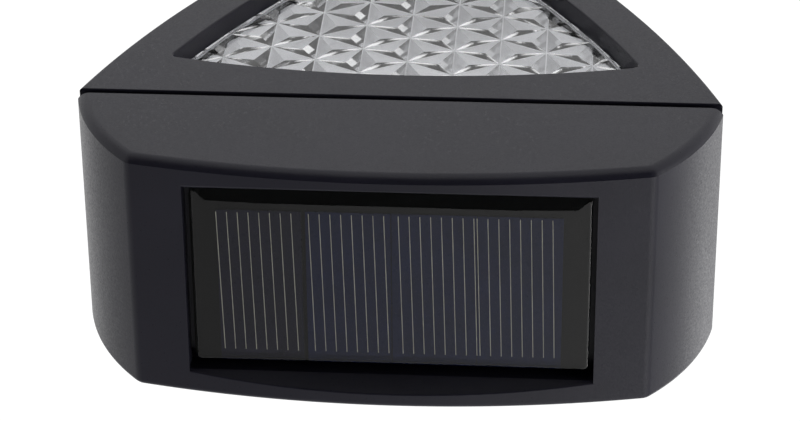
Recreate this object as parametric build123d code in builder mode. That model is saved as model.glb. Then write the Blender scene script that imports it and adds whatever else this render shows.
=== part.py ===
from build123d import *

import os
from math import cos, radians, sin, sqrt, tan

# A solar fence light, as it hangs on a fence. +Z is up, the fence is behind it on the +Y side, and the lens
# looks out towards -Y. The origin lies on the back face, midway between the two hanging holes.
# Sizes are in millimetres. A "depth" is a distance in front of the back face, towards the lens.

# ---------------------------------------------------------------- body outline, seen from the front
WIDTH = 98.9  # widest line, at the seam
DEPTH = 40.0  # back face to bezel face
SEAM_Z = 14.0  # height of the seam between the lens housing and the solar head
SEAM_GAP = 1.3  # dark line between the two mouldings
SIDE_RADIUS = 190.0  # the lens housing's long sides
SIDE_LEAN = 18.0  # degrees that a side leaves the seam off upright
TOE_RADIUS = 17.6  # the toe's curve, tangent to both sides
SHOULDER_RADIUS = 40.0  # the solar head's sides
SHOULDER_LEAN = 10.0  # degrees that a shoulder leaves the seam off upright
HEAD_RISE = 25.0  # seam to the middle of the solar wall
CROWN_RADIUS = 177.0  # the solar wall's curve
HEAD_CORNER_RADIUS = 2.5
HEAD_CREASE_RADIUS = 1.5  # rounded edge round the head's front face
BEZEL_EDGE = 0.4  # broken edge round the lens housing's front face

# ---------------------------------------------------------------- walls and running clearances
WALL = 2.2
FRONT_WALL = 2.2
PARTITION = 2.0  # wall across the lens housing below the seam
FIT = 0.25  # gap round a plate that drops into a recess
SHARP = 0.4  # a corner rounder than this keeps its radius in the walls inside it

# ---------------------------------------------------------------- joint between the two mouldings
TONGUE_INSET = 3.0  # outside of the tongue, in from the body's widest line
TONGUE_WALL = 1.2
TONGUE_HEIGHT = 2.8
TONGUE_BACK = 5.0  # depth where the tongue's sides begin
GASKET_INSET = 1.0
GASKET_WIDTH = 1.4

# ---------------------------------------------------------------- lens window
BEZEL_BORDER = 7.5  # bezel width at the sides
WINDOW_TOP = 7.9  # seam to the middle of the window's top edge
WINDOW_TOP_RADIUS = 150.0
WINDOW_TOE_BORDER = 13.5  # bezel width at the toe
WINDOW_TOE_RADIUS = 60.0
WINDOW_CORNER = 1.0
LENS_RECESS = 3.5  # bezel face to the lens
COLLAR_WALL = 1.6
COLLAR_GRIP = 0.8  # how far the lens's raised pad stands inside the collar
LENS_SEAL_THICKNESS = 0.8
LENS_FLANGE = 2.0
LENS_FLANGE_THICKNESS = 1.5
STAR_SPACING = 8.47  # triangular lattice of the lens's facets
STAR_DROP = 19.2  # seam to a star on the middle column
FACET_DEPTH = 0.9
RIDGE = 0.22  # flat ridge left between facets

# ---------------------------------------------------------------- reflector and lamps
REFLECTOR_FLARE = 0.6  # reflector's inside beyond the window's edge
REFLECTOR_WALL = 1.0
REFLECTOR_BACK = 14.0  # depth of the reflector's rear face
LED_HALF_SPACING = 8.0
LED_RADIUS = 2.5
LED_TIP_FLAT = 0.05
LED_RIM_RADIUS = 2.9
LED_RIM = 1.0
LED_LENGTH = 8.7
LED_REACH = 1.9  # how far a lamp's tip stands inside the reflector
LED_HOLE_FIT = 0.3
LED_LEAD = 0.5
LED_LEAD_SPACING = 2.54

# ---------------------------------------------------------------- control board
BOARD_WIDTH = 42.0
BOARD_DEPTH = 16.0
BOARD_THICKNESS = 1.2
BOARD_FRONT_GAP = 2.3  # board to the front wall
BOARD_STANDOFF = 2.5
BOARD_SCREW_HALF = 17.5
STANDOFF_RADIUS = 2.2
CHIP = (4.8, 3.9, 1.6)
CHIP_SPOT = (12.0, 4.5)  # across, and nearer the lens than the board's middle
INDUCTOR_RADIUS = 2.6
INDUCTOR_HEIGHT = 6.0
INDUCTOR_FLANGE = 1.2
INDUCTOR_SPOT = (-11.5, 4.0)
CAPACITOR_RADIUS = 2.0
CAPACITOR_HEIGHT = 5.0
CAPACITOR_SPOT = (-12.0, -4.5)
BOARD_LEAD_INSET = 2.0  # where a lead is soldered, in from the board's edge

# ---------------------------------------------------------------- solar panel
PANEL_WIDTH = 60.0
PANEL_LENGTH = 30.0
PANEL_RADIUS = 1.5
PANEL_BOARD = 1.0
RESIN = 1.8  # clear cover above the panel's board
RESIN_EDGE = 1.2  # rounded rim of the cover
PANEL_DROP = 3.0  # top of the solar wall's curve to the panel's flat face
PANEL_PAD = 0.4  # foam tape under the panel
PAD_INSET = 1.0
PANEL_LEAD_SHIFT = 4.0  # the leads leave the panel this much nearer the lens than its middle
PANEL_LEAD_HALF = 2.5  # half the gap between the panel's two leads
POCKET_SIDE_GAP = 0.75
POCKET_END_GAP = 0.9
POCKET_FLOOR = 1.8
POCKET_FLARE = 28.0  # degrees that the pocket's long walls lean outwards
CELL_WIDTH = 12.7
CELL_LENGTH = 25.7
CELL_THICKNESS = 0.3
CELL_SHIFT = 1.2  # the cells lie this much nearer the fence than the panel's middle
CELL_LEFTS = (-25.9, -12.6, 0.25, 13.05)  # each cell's edge nearer +X, as a distance towards -X

# ---------------------------------------------------------------- back plate
PLATE = 2.5
BOSS_RADIUS = 2.9
BOSS_WEB = 1.6  # rib from a boss to the wall beside it
BOSS_INSET = 9.0  # in from the body's widest line
SHIELD_BOSS_DROP = 4.6  # below the seam
HEAD_BOSS_RISE = 5.5  # above the seam
TOE_BOSS_RISE = 7.0  # toe to the lowest screw
KEYHOLE_HALF = 22.0
KEYHOLE_ENTRY = 4.0
KEYHOLE_NECK = 2.0
KEYHOLE_LIFT = 5.5  # how far the light drops onto its screws
KEYHOLE_POCKET = 3.2  # room for the screw's head behind the plate
KEYHOLE_WALL = 1.2
POST_RADIUS = 2.0
POSTS = ((14.0, -16.0), (-14.0, -16.0), (0.0, -37.0))

# ---------------------------------------------------------------- battery bay
CELL_AAA_RADIUS = 5.25
CELL_AAA_LENGTH = 44.5
CELL_NUB_RADIUS = 1.9
CELL_NUB = 1.0
BATTERY_Z = 22.9
BAY_ROOM = 0.4  # gap round the battery
BAY_WALL = 1.2
CONTACT = 0.4
CONTACT_SIZE = 8.5
SPRING_LENGTH = 5.5
SPRING_WIRE = 0.35
SPRING_TURNS = 4
SPRING_BASE_RADIUS = 3.6
SPRING_TAPER = 12.0  # degrees
DOOR = 1.6
DOOR_SEAL = 0.4
DOOR_SEAL_WIDTH = 0.8
DOOR_EAR = 5.4  # door beyond the bay at each end, where its screws are
DOOR_RADIUS = 2.0
DOOR_BLOCK = 7.0  # depth of the blocks that take the door's screws
DOOR_TRAVEL_GAP = 0.6  # battery to the door's inside
BATTERY_EDGE = 0.5

# ---------------------------------------------------------------- switch
SWITCH_Z = -24.0
SWITCH_TRAVEL = 2.0
SWITCH_BODY = (8.6, 4.4, 4.0)  # width, height, depth
WELL = (16.0, 10.0)
WELL_DEPTH = 4.0
WELL_FLOOR = 1.5
WELL_WALL = 1.2
KNOB = (3.0, 2.4)
KNOB_SETBACK = 0.8  # knob's tip below the back face
KNOB_ROOT = 1.2  # knob inside the switch body
KNOB_EDGE = 0.3
SLOT_FIT = 0.3

# ---------------------------------------------------------------- screws and leads
PLATE_SCREW = (2.35, 1.5, 1.1, 8.0)  # head radius, head height, shank radius, shank length
DOOR_SCREW = (1.8, 1.1, 0.85, 5.0)
BOARD_SCREW = (1.7, 1.1, 0.8, 4.0)
PILOT_FIT = 0.05  # thread that is screwed home
DOOR_PILOT_FIT = 0.2  # thread that comes out with the door
HEAD_FIT = 0.25
HEAD_SETBACK = 0.1  # the plate's screw heads below the back face
PILOT_SPARE = 1.0  # a blind hole below its screw's tip
BOARD_PILOT_SPARE = 0.4
LEAD_RADIUS = 0.6
LEAD_HOLE = 1.6  # radius of the holes that the leads pass
BAY_LEAD_HOLE = 1.0
BAY_LEAD_GAP = 2.1  # bay's floor to the middle of the leads' holes
BEND = 1.8  # the leads' bends
WIDE_BEND = 2.5
TIGHT_BEND = 1.2
BATTERY_LEAD_REACH = 6.0  # bay's end to the lead's first bend
BATTERY_LEAD_DROP = 1.0
PANEL_LEAD_DROP = 6.0
PANEL_LEAD_SPLAY = 1.5
PANEL_LEAD_LAND = 3.0  # where they meet the board, nearer the lens than its middle
SWITCH_LEAD_HALF = 1.4  # half the gap between the switch's leads
SWITCH_LEAD_RISE = 6.0
SWITCH_LEAD_SLOPE = 7.0
SWITCH_TAG = 2.0  # back of the switch body to its leads
REFLECTOR_LEAD_GAP = 2.5  # reflector's rear face to the leads behind it
PARTITION_LEAD_GAP = 1.8

# ---------------------------------------------------------------- places that follow from the sizes
SIDE_CENTRE = (
    WIDTH / 2 - SIDE_RADIUS * cos(radians(SIDE_LEAN)),
    SEAM_Z + SIDE_RADIUS * sin(radians(SIDE_LEAN)),
)
SHOULDER_CENTRE = (
    WIDTH / 2 - SHOULDER_RADIUS * cos(radians(SHOULDER_LEAN)),
    SEAM_Z - SHOULDER_RADIUS * sin(radians(SHOULDER_LEAN)),
)
HEAD_TOP_Z = SEAM_Z + HEAD_RISE
CROWN_CENTRE = (0.0, HEAD_TOP_Z - CROWN_RADIUS)
TOE_CENTRE = (0.0, SIDE_CENTRE[1] - sqrt((SIDE_RADIUS - TOE_RADIUS) ** 2 - SIDE_CENTRE[0] ** 2))
TOE_Z = TOE_CENTRE[1] - TOE_RADIUS
HEAD_LOW_Z = SEAM_Z + SEAM_GAP / 2
SHIELD_TOP_Z = SEAM_Z - SEAM_GAP / 2
PARTITION_LOW_Z = SHIELD_TOP_Z - PARTITION
FRONT_INSIDE = DEPTH - FRONT_WALL
LENS_FRONT = DEPTH - LENS_RECESS
COLLAR_END = LENS_FRONT - COLLAR_GRIP
FLANGE_FRONT = COLLAR_END - LENS_SEAL_THICKNESS
LENS_BACK = FLANGE_FRONT - LENS_FLANGE_THICKNESS
PANEL_TOP_Z = HEAD_TOP_Z - PANEL_DROP
PANEL_BOARD_TOP_Z = PANEL_TOP_Z - RESIN
PANEL_LOW_Z = PANEL_BOARD_TOP_Z - PANEL_BOARD
POCKET_FLOOR_Z = PANEL_LOW_Z - PANEL_PAD
HEAD_ROOF_Z = POCKET_FLOOR_Z - POCKET_FLOOR
PANEL_CENTRE = DEPTH / 2
PANEL_LEAD_DEPTH = PANEL_CENTRE + PANEL_LEAD_SHIFT
PANEL_LEAD_SLOT = (2 * (PANEL_LEAD_HALF + LEAD_HOLE), 2 * LEAD_HOLE)
SWITCH_LEAD_SLOT = (2 * (SWITCH_LEAD_HALF + LEAD_HOLE), 2 * LEAD_HOLE)
POCKET_HALF_WIDTH = PANEL_WIDTH / 2 + POCKET_SIDE_GAP
POCKET_HALF_LENGTH = PANEL_LENGTH / 2 + POCKET_END_GAP
BOARD_CENTRE_DEPTH = FRONT_INSIDE - BOARD_FRONT_GAP - BOARD_DEPTH / 2
BOARD_LEAD_DEPTH = BOARD_CENTRE_DEPTH - BOARD_DEPTH / 2 + BOARD_LEAD_INSET
BOARD_LOW_Z = SHIELD_TOP_Z + BOARD_STANDOFF
BOARD_TOP_Z = BOARD_LOW_Z + BOARD_THICKNESS
WINDOW_TOP_Z = SEAM_Z - WINDOW_TOP
LED_TIP_Z = WINDOW_TOP_Z + REFLECTOR_FLARE - LED_REACH
BOSS_X = WIDTH / 2 - BOSS_INSET
SHIELD_BOSS_Z = SEAM_Z - SHIELD_BOSS_DROP
HEAD_BOSS_Z = SEAM_Z + HEAD_BOSS_RISE
TOE_BOSS_Z = TOE_Z + TOE_BOSS_RISE
SHIELD_SCREWS = ((BOSS_X, SHIELD_BOSS_Z), (-BOSS_X, SHIELD_BOSS_Z), (0.0, TOE_BOSS_Z))
HEAD_SCREWS = ((BOSS_X, HEAD_BOSS_Z), (-BOSS_X, HEAD_BOSS_Z))
PLATE_SCREWS = SHIELD_SCREWS + HEAD_SCREWS
BAY_HALF_HEIGHT = CELL_AAA_RADIUS + BAY_ROOM
BAY_HALF_LENGTH = (CELL_AAA_LENGTH + SPRING_LENGTH) / 2 + CONTACT
BAY_FLOOR = DOOR + DOOR_TRAVEL_GAP + 2 * CELL_AAA_RADIUS + BAY_ROOM
BATTERY_DEPTH = DOOR + DOOR_TRAVEL_GAP + CELL_AAA_RADIUS
BATTERY_NUB_X = BAY_HALF_LENGTH - CONTACT
DOOR_HALF_WIDTH = BAY_HALF_LENGTH + BAY_WALL + DOOR_EAR
DOOR_HALF_HEIGHT = BAY_HALF_HEIGHT + BAY_WALL
DOOR_SCREW_X = BAY_HALF_LENGTH + BAY_WALL + DOOR_EAR / 2
LEDGE_DEPTH = DOOR + DOOR_SEAL
WELL_OUT = WELL_DEPTH + WELL_FLOOR


def at_depth(depth):
    """The plane parallel to the fence at a depth. Its normal points at the viewer."""
    return Plane.XZ.offset(depth)


def place(x, depth, z):
    return (x, -depth, z)


def on_board(spot, z):
    """A place over the control board, measured from its middle."""
    return place(spot[0], BOARD_CENTRE_DEPTH + spot[1], z)


def facing_down(z):
    """The level plane at this height, with its normal downwards."""
    return Plane(origin=(0, 0, z), x_dir=(1, 0, 0), z_dir=(0, 0, -1))


def slab_between(low_z, high_z):
    """Keeps only the part of a front outline that lies between two heights."""
    with Locations((0, (low_z + high_z) / 2)):
        Rectangle(2 * WIDTH, high_z - low_z, mode=Mode.INTERSECT)


def crossing(first_centre, first_radius, second_centre, second_radius):
    """Where two circles cross, on the +X side."""
    across = Vector(*second_centre) - Vector(*first_centre)
    along = (first_radius**2 - second_radius**2 + across.length**2) / (2 * across.length)
    aside = sqrt(first_radius**2 - along**2)
    base = Vector(*first_centre) + across.normalized() * along
    normal = Vector(-across.Y, across.X).normalized()
    return max(base + normal * aside, base - normal * aside, key=lambda point: point.X)


def arc_about(centre, start, end):
    """The shorter arc about a centre between two points."""
    middle = (start + end) / 2 - Vector(*centre)
    reach = (start - Vector(*centre)).length
    return ThreePointArc(start, Vector(*centre) + middle.normalized() * reach, end)


def body_face(inset=0.0):
    """The whole body seen from the front, moved inwards by an inset. Every arc keeps its own centre."""
    seam_point = crossing(SIDE_CENTRE, SIDE_RADIUS - inset, SHOULDER_CENTRE, SHOULDER_RADIUS - inset)
    crown_point = crossing(SHOULDER_CENTRE, SHOULDER_RADIUS - inset, CROWN_CENTRE, CROWN_RADIUS - inset)
    toe_line = (Vector(*TOE_CENTRE) - Vector(*SIDE_CENTRE)).normalized()
    toe_point = Vector(*TOE_CENTRE) + toe_line * (TOE_RADIUS - inset)
    with BuildSketch() as face:
        with BuildLine():
            arc_about(SHOULDER_CENTRE, crown_point, seam_point)
            arc_about(SIDE_CENTRE, seam_point, toe_point)
            mirror(about=Plane.YZ)
            arc_about(TOE_CENTRE, toe_point, Vector(-toe_point.X, toe_point.Y))
            arc_about(CROWN_CENTRE, crown_point, Vector(-crown_point.X, crown_point.Y))
        make_face()
        if HEAD_CORNER_RADIUS - inset > SHARP:
            fillet(face.vertices().sort_by(Axis.Y)[-2:], HEAD_CORNER_RADIUS - inset)
    return face.sketch


def body_block():
    """The body as one solid."""
    with BuildPart() as block:
        with BuildSketch(at_depth(0)):
            add(body_face())
        extrude(amount=DEPTH)
    return block.part


def window_face(growth=0.0):
    """The lens's window, moved outwards by a growth: where the discs of its four edges overlap."""
    side = SIDE_RADIUS - BEZEL_BORDER + growth
    with BuildSketch() as face:
        with Locations(SIDE_CENTRE):
            Circle(side)
        with Locations((-SIDE_CENTRE[0], SIDE_CENTRE[1])):
            Circle(side, mode=Mode.INTERSECT)
        with Locations((0, WINDOW_TOP_Z - WINDOW_TOP_RADIUS)):
            Circle(WINDOW_TOP_RADIUS + growth, mode=Mode.INTERSECT)
        with Locations((0, TOE_Z + WINDOW_TOE_BORDER + WINDOW_TOE_RADIUS)):
            Circle(WINDOW_TOE_RADIUS + growth, mode=Mode.INTERSECT)
        fillet(face.vertices(), WINDOW_CORNER + growth)
    return face.sketch


def tapping_screw(size):
    """A pan-head screw with a cross recess: the head's top at the origin, the shank along +Z."""
    head_radius, head_height, shank_radius, length = size
    recess = 0.45 * head_height
    with BuildPart() as screw:
        with BuildSketch():
            Circle(head_radius)
        extrude(amount=head_height)
        fillet(screw.edges().group_by(Axis.Z)[0], 0.35 * head_height)
        with BuildSketch(Plane.XY.offset(head_height)):
            Circle(shank_radius)
        extrude(amount=length)
        chamfer(screw.edges().group_by(Axis.Z)[-1], 0.6 * shank_radius)
        with BuildSketch():
            Rectangle(1.3 * head_radius, 0.3 * head_radius)
            Rectangle(0.3 * head_radius, 1.3 * head_radius)
        extrude(amount=recess, mode=Mode.SUBTRACT)
    return screw.part


def lead(name, points, radius):
    """A round wire along straight runs joined by tangent arcs."""
    with BuildPart() as wire:
        with BuildLine() as route:
            FilletPolyline(*points, radius=radius)
        with BuildSketch(Plane(origin=points[0], z_dir=route.line % 0)):
            Circle(LEAD_RADIUS)
        sweep()
    save(wire.part, name)


def save(part, name):
    part.label = name
    export_step(part, f"parts/{name}.step")


os.makedirs("parts", exist_ok=True)

# ================================================================ outlines
with BuildSketch() as head_room:
    add(body_face(WALL))
    slab_between(HEAD_LOW_Z, HEAD_ROOF_Z)

with BuildSketch() as shield_room:
    add(body_face(WALL))
    slab_between(TOE_Z - WIDTH, PARTITION_LOW_Z)

with BuildSketch() as plate_recess:
    add(body_face(WALL))
    slab_between(TOE_Z - WIDTH, HEAD_ROOF_Z)

with BuildSketch() as plate_outline:
    add(body_face(WALL + FIT))
    slab_between(TOE_Z - WIDTH, HEAD_ROOF_Z - FIT)


def bosses(spots):
    """Posts behind the front wall that take the back plate's screws, each with a rib to the nearest wall."""
    reach = 3 * BOSS_RADIUS
    with BuildSketch(at_depth(PLATE)) as posts:
        for x, z in spots:
            if x:
                with Locations((x + reach / 2 * x / abs(x), z)):
                    Rectangle(reach, BOSS_WEB)
            else:
                with Locations((x, z - reach / 2)):
                    Rectangle(BOSS_WEB, reach)
        add(body_face(WALL / 2), mode=Mode.INTERSECT)
        with Locations(*spots):
            Circle(BOSS_RADIUS)
    extrude(posts.sketch, amount=FRONT_INSIDE - PLATE)
    with BuildSketch(at_depth(PLATE)) as pilots:
        with Locations(*spots):
            Circle(PLATE_SCREW[2] + PILOT_FIT)
    extrude(pilots.sketch, amount=PLATE_SCREW[3] + PILOT_SPARE, mode=Mode.SUBTRACT)


# ================================================================ lens housing
with BuildPart() as lens_housing:
    add(body_block())
    chamfer(lens_housing.edges().filter_by_position(Axis.Y, -DEPTH, -DEPTH), BEZEL_EDGE)
    split(bisect_by=Plane.XY.offset(SHIELD_TOP_Z), keep=Keep.BOTTOM)
    with BuildSketch(at_depth(0)):
        add(shield_room.sketch)
    extrude(amount=FRONT_INSIDE, mode=Mode.SUBTRACT)
    with BuildSketch(at_depth(COLLAR_END)):
        add(window_face(COLLAR_WALL))
    extrude(amount=FRONT_INSIDE - COLLAR_END)
    bosses(SHIELD_SCREWS)
    with BuildSketch(at_depth(COLLAR_END)):
        add(window_face())
    extrude(amount=DEPTH, mode=Mode.SUBTRACT)
    with BuildSketch(at_depth(0)):
        add(plate_recess.sketch)
    extrude(amount=PLATE, mode=Mode.SUBTRACT)
    # tongue that locates the solar head, along the front and both sides
    with BuildSketch(Plane.XY.offset(SHIELD_TOP_Z)):
        tongue_front = -(FRONT_INSIDE - 2 * FIT)
        tongue_half = WIDTH / 2 - TONGUE_INSET
        with Locations((0, (tongue_front - TONGUE_BACK) / 2)):
            Rectangle(2 * tongue_half, -tongue_front - TONGUE_BACK)
        with Locations((0, (tongue_front + TONGUE_WALL) / 2)):
            Rectangle(2 * (tongue_half - TONGUE_WALL), -tongue_front - TONGUE_WALL, mode=Mode.SUBTRACT)
    extrude(amount=TONGUE_HEIGHT)
    # standoffs for the control board, with their pilot holes
    with BuildSketch(Plane.XY.offset(SHIELD_TOP_Z)):
        with Locations((BOARD_SCREW_HALF, -BOARD_CENTRE_DEPTH), (-BOARD_SCREW_HALF, -BOARD_CENTRE_DEPTH)):
            Circle(STANDOFF_RADIUS)
    extrude(amount=BOARD_STANDOFF)
    with BuildSketch(facing_down(BOARD_LOW_Z)):
        with Locations((BOARD_SCREW_HALF, BOARD_CENTRE_DEPTH), (-BOARD_SCREW_HALF, BOARD_CENTRE_DEPTH)):
            Circle(BOARD_SCREW[2] + PILOT_FIT)
    extrude(amount=BOARD_SCREW[3] - BOARD_THICKNESS + BOARD_PILOT_SPARE, mode=Mode.SUBTRACT)
    # holes for the lamps and for the switch's leads
    with BuildSketch(facing_down(SHIELD_TOP_Z)):
        with Locations((LED_HALF_SPACING, BOARD_CENTRE_DEPTH), (-LED_HALF_SPACING, BOARD_CENTRE_DEPTH)):
            Circle(LED_RIM_RADIUS + LED_HOLE_FIT)
        with Locations((0, BOARD_LEAD_DEPTH)):
            SlotOverall(*SWITCH_LEAD_SLOT)
    extrude(amount=PARTITION, mode=Mode.SUBTRACT)
save(lens_housing.part, "lens_housing")

# ================================================================ solar head
with BuildPart() as solar_head_housing:
    add(body_block())
    fillet(solar_head_housing.edges().filter_by_position(Axis.Y, -DEPTH, -DEPTH), HEAD_CREASE_RADIUS)
    split(bisect_by=Plane.XY.offset(HEAD_LOW_Z), keep=Keep.TOP)
    with BuildSketch(at_depth(0)):
        add(head_room.sketch)
    extrude(amount=FRONT_INSIDE, mode=Mode.SUBTRACT)
    # hollows in the shoulders, beside the panel's pocket
    with BuildSketch(at_depth(PLATE + WALL)):
        add(body_face(WALL))
        slab_between(HEAD_ROOF_Z - WALL, HEAD_TOP_Z)
        with Locations((0, HEAD_ROOF_Z)):
            Rectangle(2 * (POCKET_HALF_WIDTH + WALL), WIDTH, mode=Mode.SUBTRACT)
    extrude(amount=FRONT_INSIDE - PLATE - WALL, mode=Mode.SUBTRACT)
    bosses(HEAD_SCREWS)
    # the panel's pocket: upright ends, and long walls that flare outwards above the panel's face
    flare = (HEAD_TOP_Z + 0.5 - PANEL_TOP_Z) * tan(radians(POCKET_FLARE))
    with BuildSketch(Plane.YZ.offset(-POCKET_HALF_WIDTH)):
        with Locations((-PANEL_CENTRE, 0)):
            Polygon(
                (-POCKET_HALF_LENGTH, POCKET_FLOOR_Z),
                (POCKET_HALF_LENGTH, POCKET_FLOOR_Z),
                (POCKET_HALF_LENGTH, PANEL_TOP_Z),
                (POCKET_HALF_LENGTH + flare, HEAD_TOP_Z + 0.5),
                (-POCKET_HALF_LENGTH - flare, HEAD_TOP_Z + 0.5),
                (-POCKET_HALF_LENGTH, PANEL_TOP_Z),
                align=None,
            )
    extrude(amount=2 * POCKET_HALF_WIDTH, mode=Mode.SUBTRACT)
    with BuildSketch(Plane.XY.offset(HEAD_ROOF_Z)):
        with Locations((0, -PANEL_LEAD_DEPTH)):
            SlotOverall(*PANEL_LEAD_SLOT)
    extrude(amount=POCKET_FLOOR, mode=Mode.SUBTRACT)
save(solar_head_housing.part, "solar_head_housing")

# ================================================================ seam gasket
with BuildPart() as seam_gasket:
    with BuildSketch(Plane.XY.offset(SHIELD_TOP_Z)):
        back_line = PLATE + FIT
        with Locations((0, -(DEPTH - GASKET_INSET + back_line) / 2)):
            Rectangle(WIDTH - 2 * GASKET_INSET, DEPTH - GASKET_INSET - back_line)
            Rectangle(
                WIDTH - 2 * GASKET_INSET - 2 * GASKET_WIDTH,
                DEPTH - GASKET_INSET - back_line - 2 * GASKET_WIDTH,
                mode=Mode.SUBTRACT,
            )
    extrude(amount=SEAM_GAP)
save(seam_gasket.part, "seam_gasket")

# ================================================================ lens, its seal and the reflector
with BuildPart() as lens_seal:
    with BuildSketch(at_depth(FLANGE_FRONT)):
        add(window_face(LENS_FLANGE - FIT))
        add(window_face(), mode=Mode.SUBTRACT)
    extrude(amount=LENS_SEAL_THICKNESS)
save(lens_seal.part, "lens_seal")

# one facet pit: a three-sided pyramid, its base on the lens's face and its tip behind the triangle's middle
COLUMN_STEP = STAR_SPACING * sqrt(3) / 2
THIRD = COLUMN_STEP / 3
STAR_Z = SEAM_Z - STAR_DROP

with BuildSketch() as pit_base:
    RegularPolygon(STAR_SPACING / sqrt(3) - RIDGE, 3)
with BuildPart() as pit:
    loft([pit_base.sketch, Vertex(0, 0, FACET_DEPTH)])


def facet_places():
    """Where the pits lie: two to each star, pointing to the one side and to the other."""
    lens_face = Plane(origin=place(0, LENS_FRONT, 0), x_dir=(-1, 0, 0), z_dir=(0, 1, 0))
    reach = window_face(STAR_SPACING / 3).face()
    columns = int(WIDTH / 2 / COLUMN_STEP) + 1
    rows = int((SEAM_Z - TOE_Z) / STAR_SPACING) + 1
    places = []
    for column in range(-columns, columns + 1):
        for row in range(-rows, rows + 1):
            x = column * COLUMN_STEP
            z = STAR_Z + (row + column % 2 / 2) * STAR_SPACING
            for middle, turn in ((x - THIRD * 2, 0), (x + THIRD * 2, 180)):
                if reach.is_inside(Vector(middle, z)):
                    places.append(lens_face.location * Location((-middle, z, 0), (0, 0, turn + 180)))
    return places


with BuildPart() as lens:
    with BuildSketch(at_depth(LENS_BACK)):
        add(window_face(LENS_FLANGE))
    extrude(amount=LENS_FLANGE_THICKNESS)
    with BuildSketch(at_depth(LENS_BACK)):
        add(window_face(-FIT))
    extrude(amount=LENS_FRONT - LENS_BACK)
    with Locations(*facet_places()):
        add(pit.part, mode=Mode.SUBTRACT)
save(lens.part, "lens")

with BuildPart() as reflector:
    with BuildSketch(at_depth(REFLECTOR_BACK)):
        add(window_face(REFLECTOR_FLARE + REFLECTOR_WALL))
    extrude(amount=LENS_BACK - REFLECTOR_BACK)
    with BuildSketch(at_depth(REFLECTOR_BACK + REFLECTOR_WALL)):
        add(window_face(REFLECTOR_FLARE))
    extrude(amount=DEPTH, mode=Mode.SUBTRACT)
    with BuildSketch(facing_down(WINDOW_TOP_Z + WALL + REFLECTOR_WALL)):
        with Locations((LED_HALF_SPACING, BOARD_CENTRE_DEPTH), (-LED_HALF_SPACING, BOARD_CENTRE_DEPTH)):
            Circle(LED_RADIUS + LED_HOLE_FIT)
    extrude(amount=WALL + 2 * REFLECTOR_WALL, mode=Mode.SUBTRACT)
save(reflector.part, "reflector")

# ================================================================ lamps and control board
with BuildPart() as leds:
    tips = Plane.XY.offset(LED_TIP_Z)
    spots = [place(side * LED_HALF_SPACING, BOARD_CENTRE_DEPTH, 0)[:2] for side in (-1, 1)]
    with BuildSketch(tips):
        with Locations(*spots):
            Circle(LED_RADIUS)
    extrude(amount=LED_LENGTH)
    fillet(leds.edges().group_by(Axis.Z)[0], LED_RADIUS - LED_TIP_FLAT)
    with BuildSketch(tips.offset(LED_LENGTH - LED_RIM)):
        with Locations(*spots):
            Circle(LED_RIM_RADIUS)
    extrude(amount=LED_RIM)
    with BuildSketch(tips.offset(LED_LENGTH)):
        with Locations(*spots):
            with GridLocations(LED_LEAD_SPACING, 1, 2, 1):
                Rectangle(LED_LEAD, LED_LEAD)
    extrude(amount=BOARD_TOP_Z + LED_LEAD - LED_TIP_Z - LED_LENGTH)
save(leds.part, "leds")

with BuildPart() as control_board:
    with BuildSketch(Plane.XY.offset(BOARD_LOW_Z)):
        with Locations((0, -BOARD_CENTRE_DEPTH)):
            RectangleRounded(BOARD_WIDTH, BOARD_DEPTH, 1)
        with Locations((BOARD_SCREW_HALF, -BOARD_CENTRE_DEPTH), (-BOARD_SCREW_HALF, -BOARD_CENTRE_DEPTH)):
            Circle(BOARD_SCREW[2] + HEAD_FIT, mode=Mode.SUBTRACT)
        for side in (-1, 1):
            with Locations((side * LED_HALF_SPACING, -BOARD_CENTRE_DEPTH)):
                with GridLocations(LED_LEAD_SPACING, 1, 2, 1):
                    Circle(LED_LEAD, mode=Mode.SUBTRACT)
    extrude(amount=BOARD_THICKNESS)
save(control_board.part, "control_board")

with BuildPart() as driver_chip:
    with Locations(on_board(CHIP_SPOT, BOARD_TOP_Z)):
        Box(*CHIP, align=(Align.CENTER, Align.CENTER, Align.MIN))
    chamfer(driver_chip.edges().group_by(Axis.Z)[-1], CHIP[2] / 5)
save(driver_chip.part, "driver_chip")

with BuildPart() as inductor:
    with Locations(on_board(INDUCTOR_SPOT, BOARD_TOP_Z)):
        Cylinder(INDUCTOR_RADIUS, INDUCTOR_HEIGHT, align=(Align.CENTER, Align.CENTER, Align.MIN))
    with BuildSketch(Plane(on_board(INDUCTOR_SPOT, BOARD_TOP_Z + INDUCTOR_FLANGE))):
        Circle(INDUCTOR_RADIUS + 1)
        Circle(0.8 * INDUCTOR_RADIUS, mode=Mode.SUBTRACT)
    extrude(amount=INDUCTOR_HEIGHT - 2 * INDUCTOR_FLANGE, mode=Mode.SUBTRACT)
save(inductor.part, "inductor")

with BuildPart() as capacitor:
    with Locations(on_board(CAPACITOR_SPOT, BOARD_TOP_Z)):
        Cylinder(CAPACITOR_RADIUS, CAPACITOR_HEIGHT, align=(Align.CENTER, Align.CENTER, Align.MIN))
    fillet(capacitor.edges().group_by(Axis.Z)[-1], CAPACITOR_RADIUS / 5)
save(capacitor.part, "capacitor")

with BuildPart() as board_screws:
    head_top = facing_down(BOARD_TOP_Z + BOARD_SCREW[1]).location
    spots = [head_top * Location((side * BOARD_SCREW_HALF, BOARD_CENTRE_DEPTH, 0)) for side in (-1, 1)]
    with Locations(*spots):
        add(tapping_screw(BOARD_SCREW))
save(board_screws.part, "board_screws")

# ================================================================ solar panel
panel_base = Plane(place(0, PANEL_CENTRE, PANEL_LOW_Z))

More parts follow.
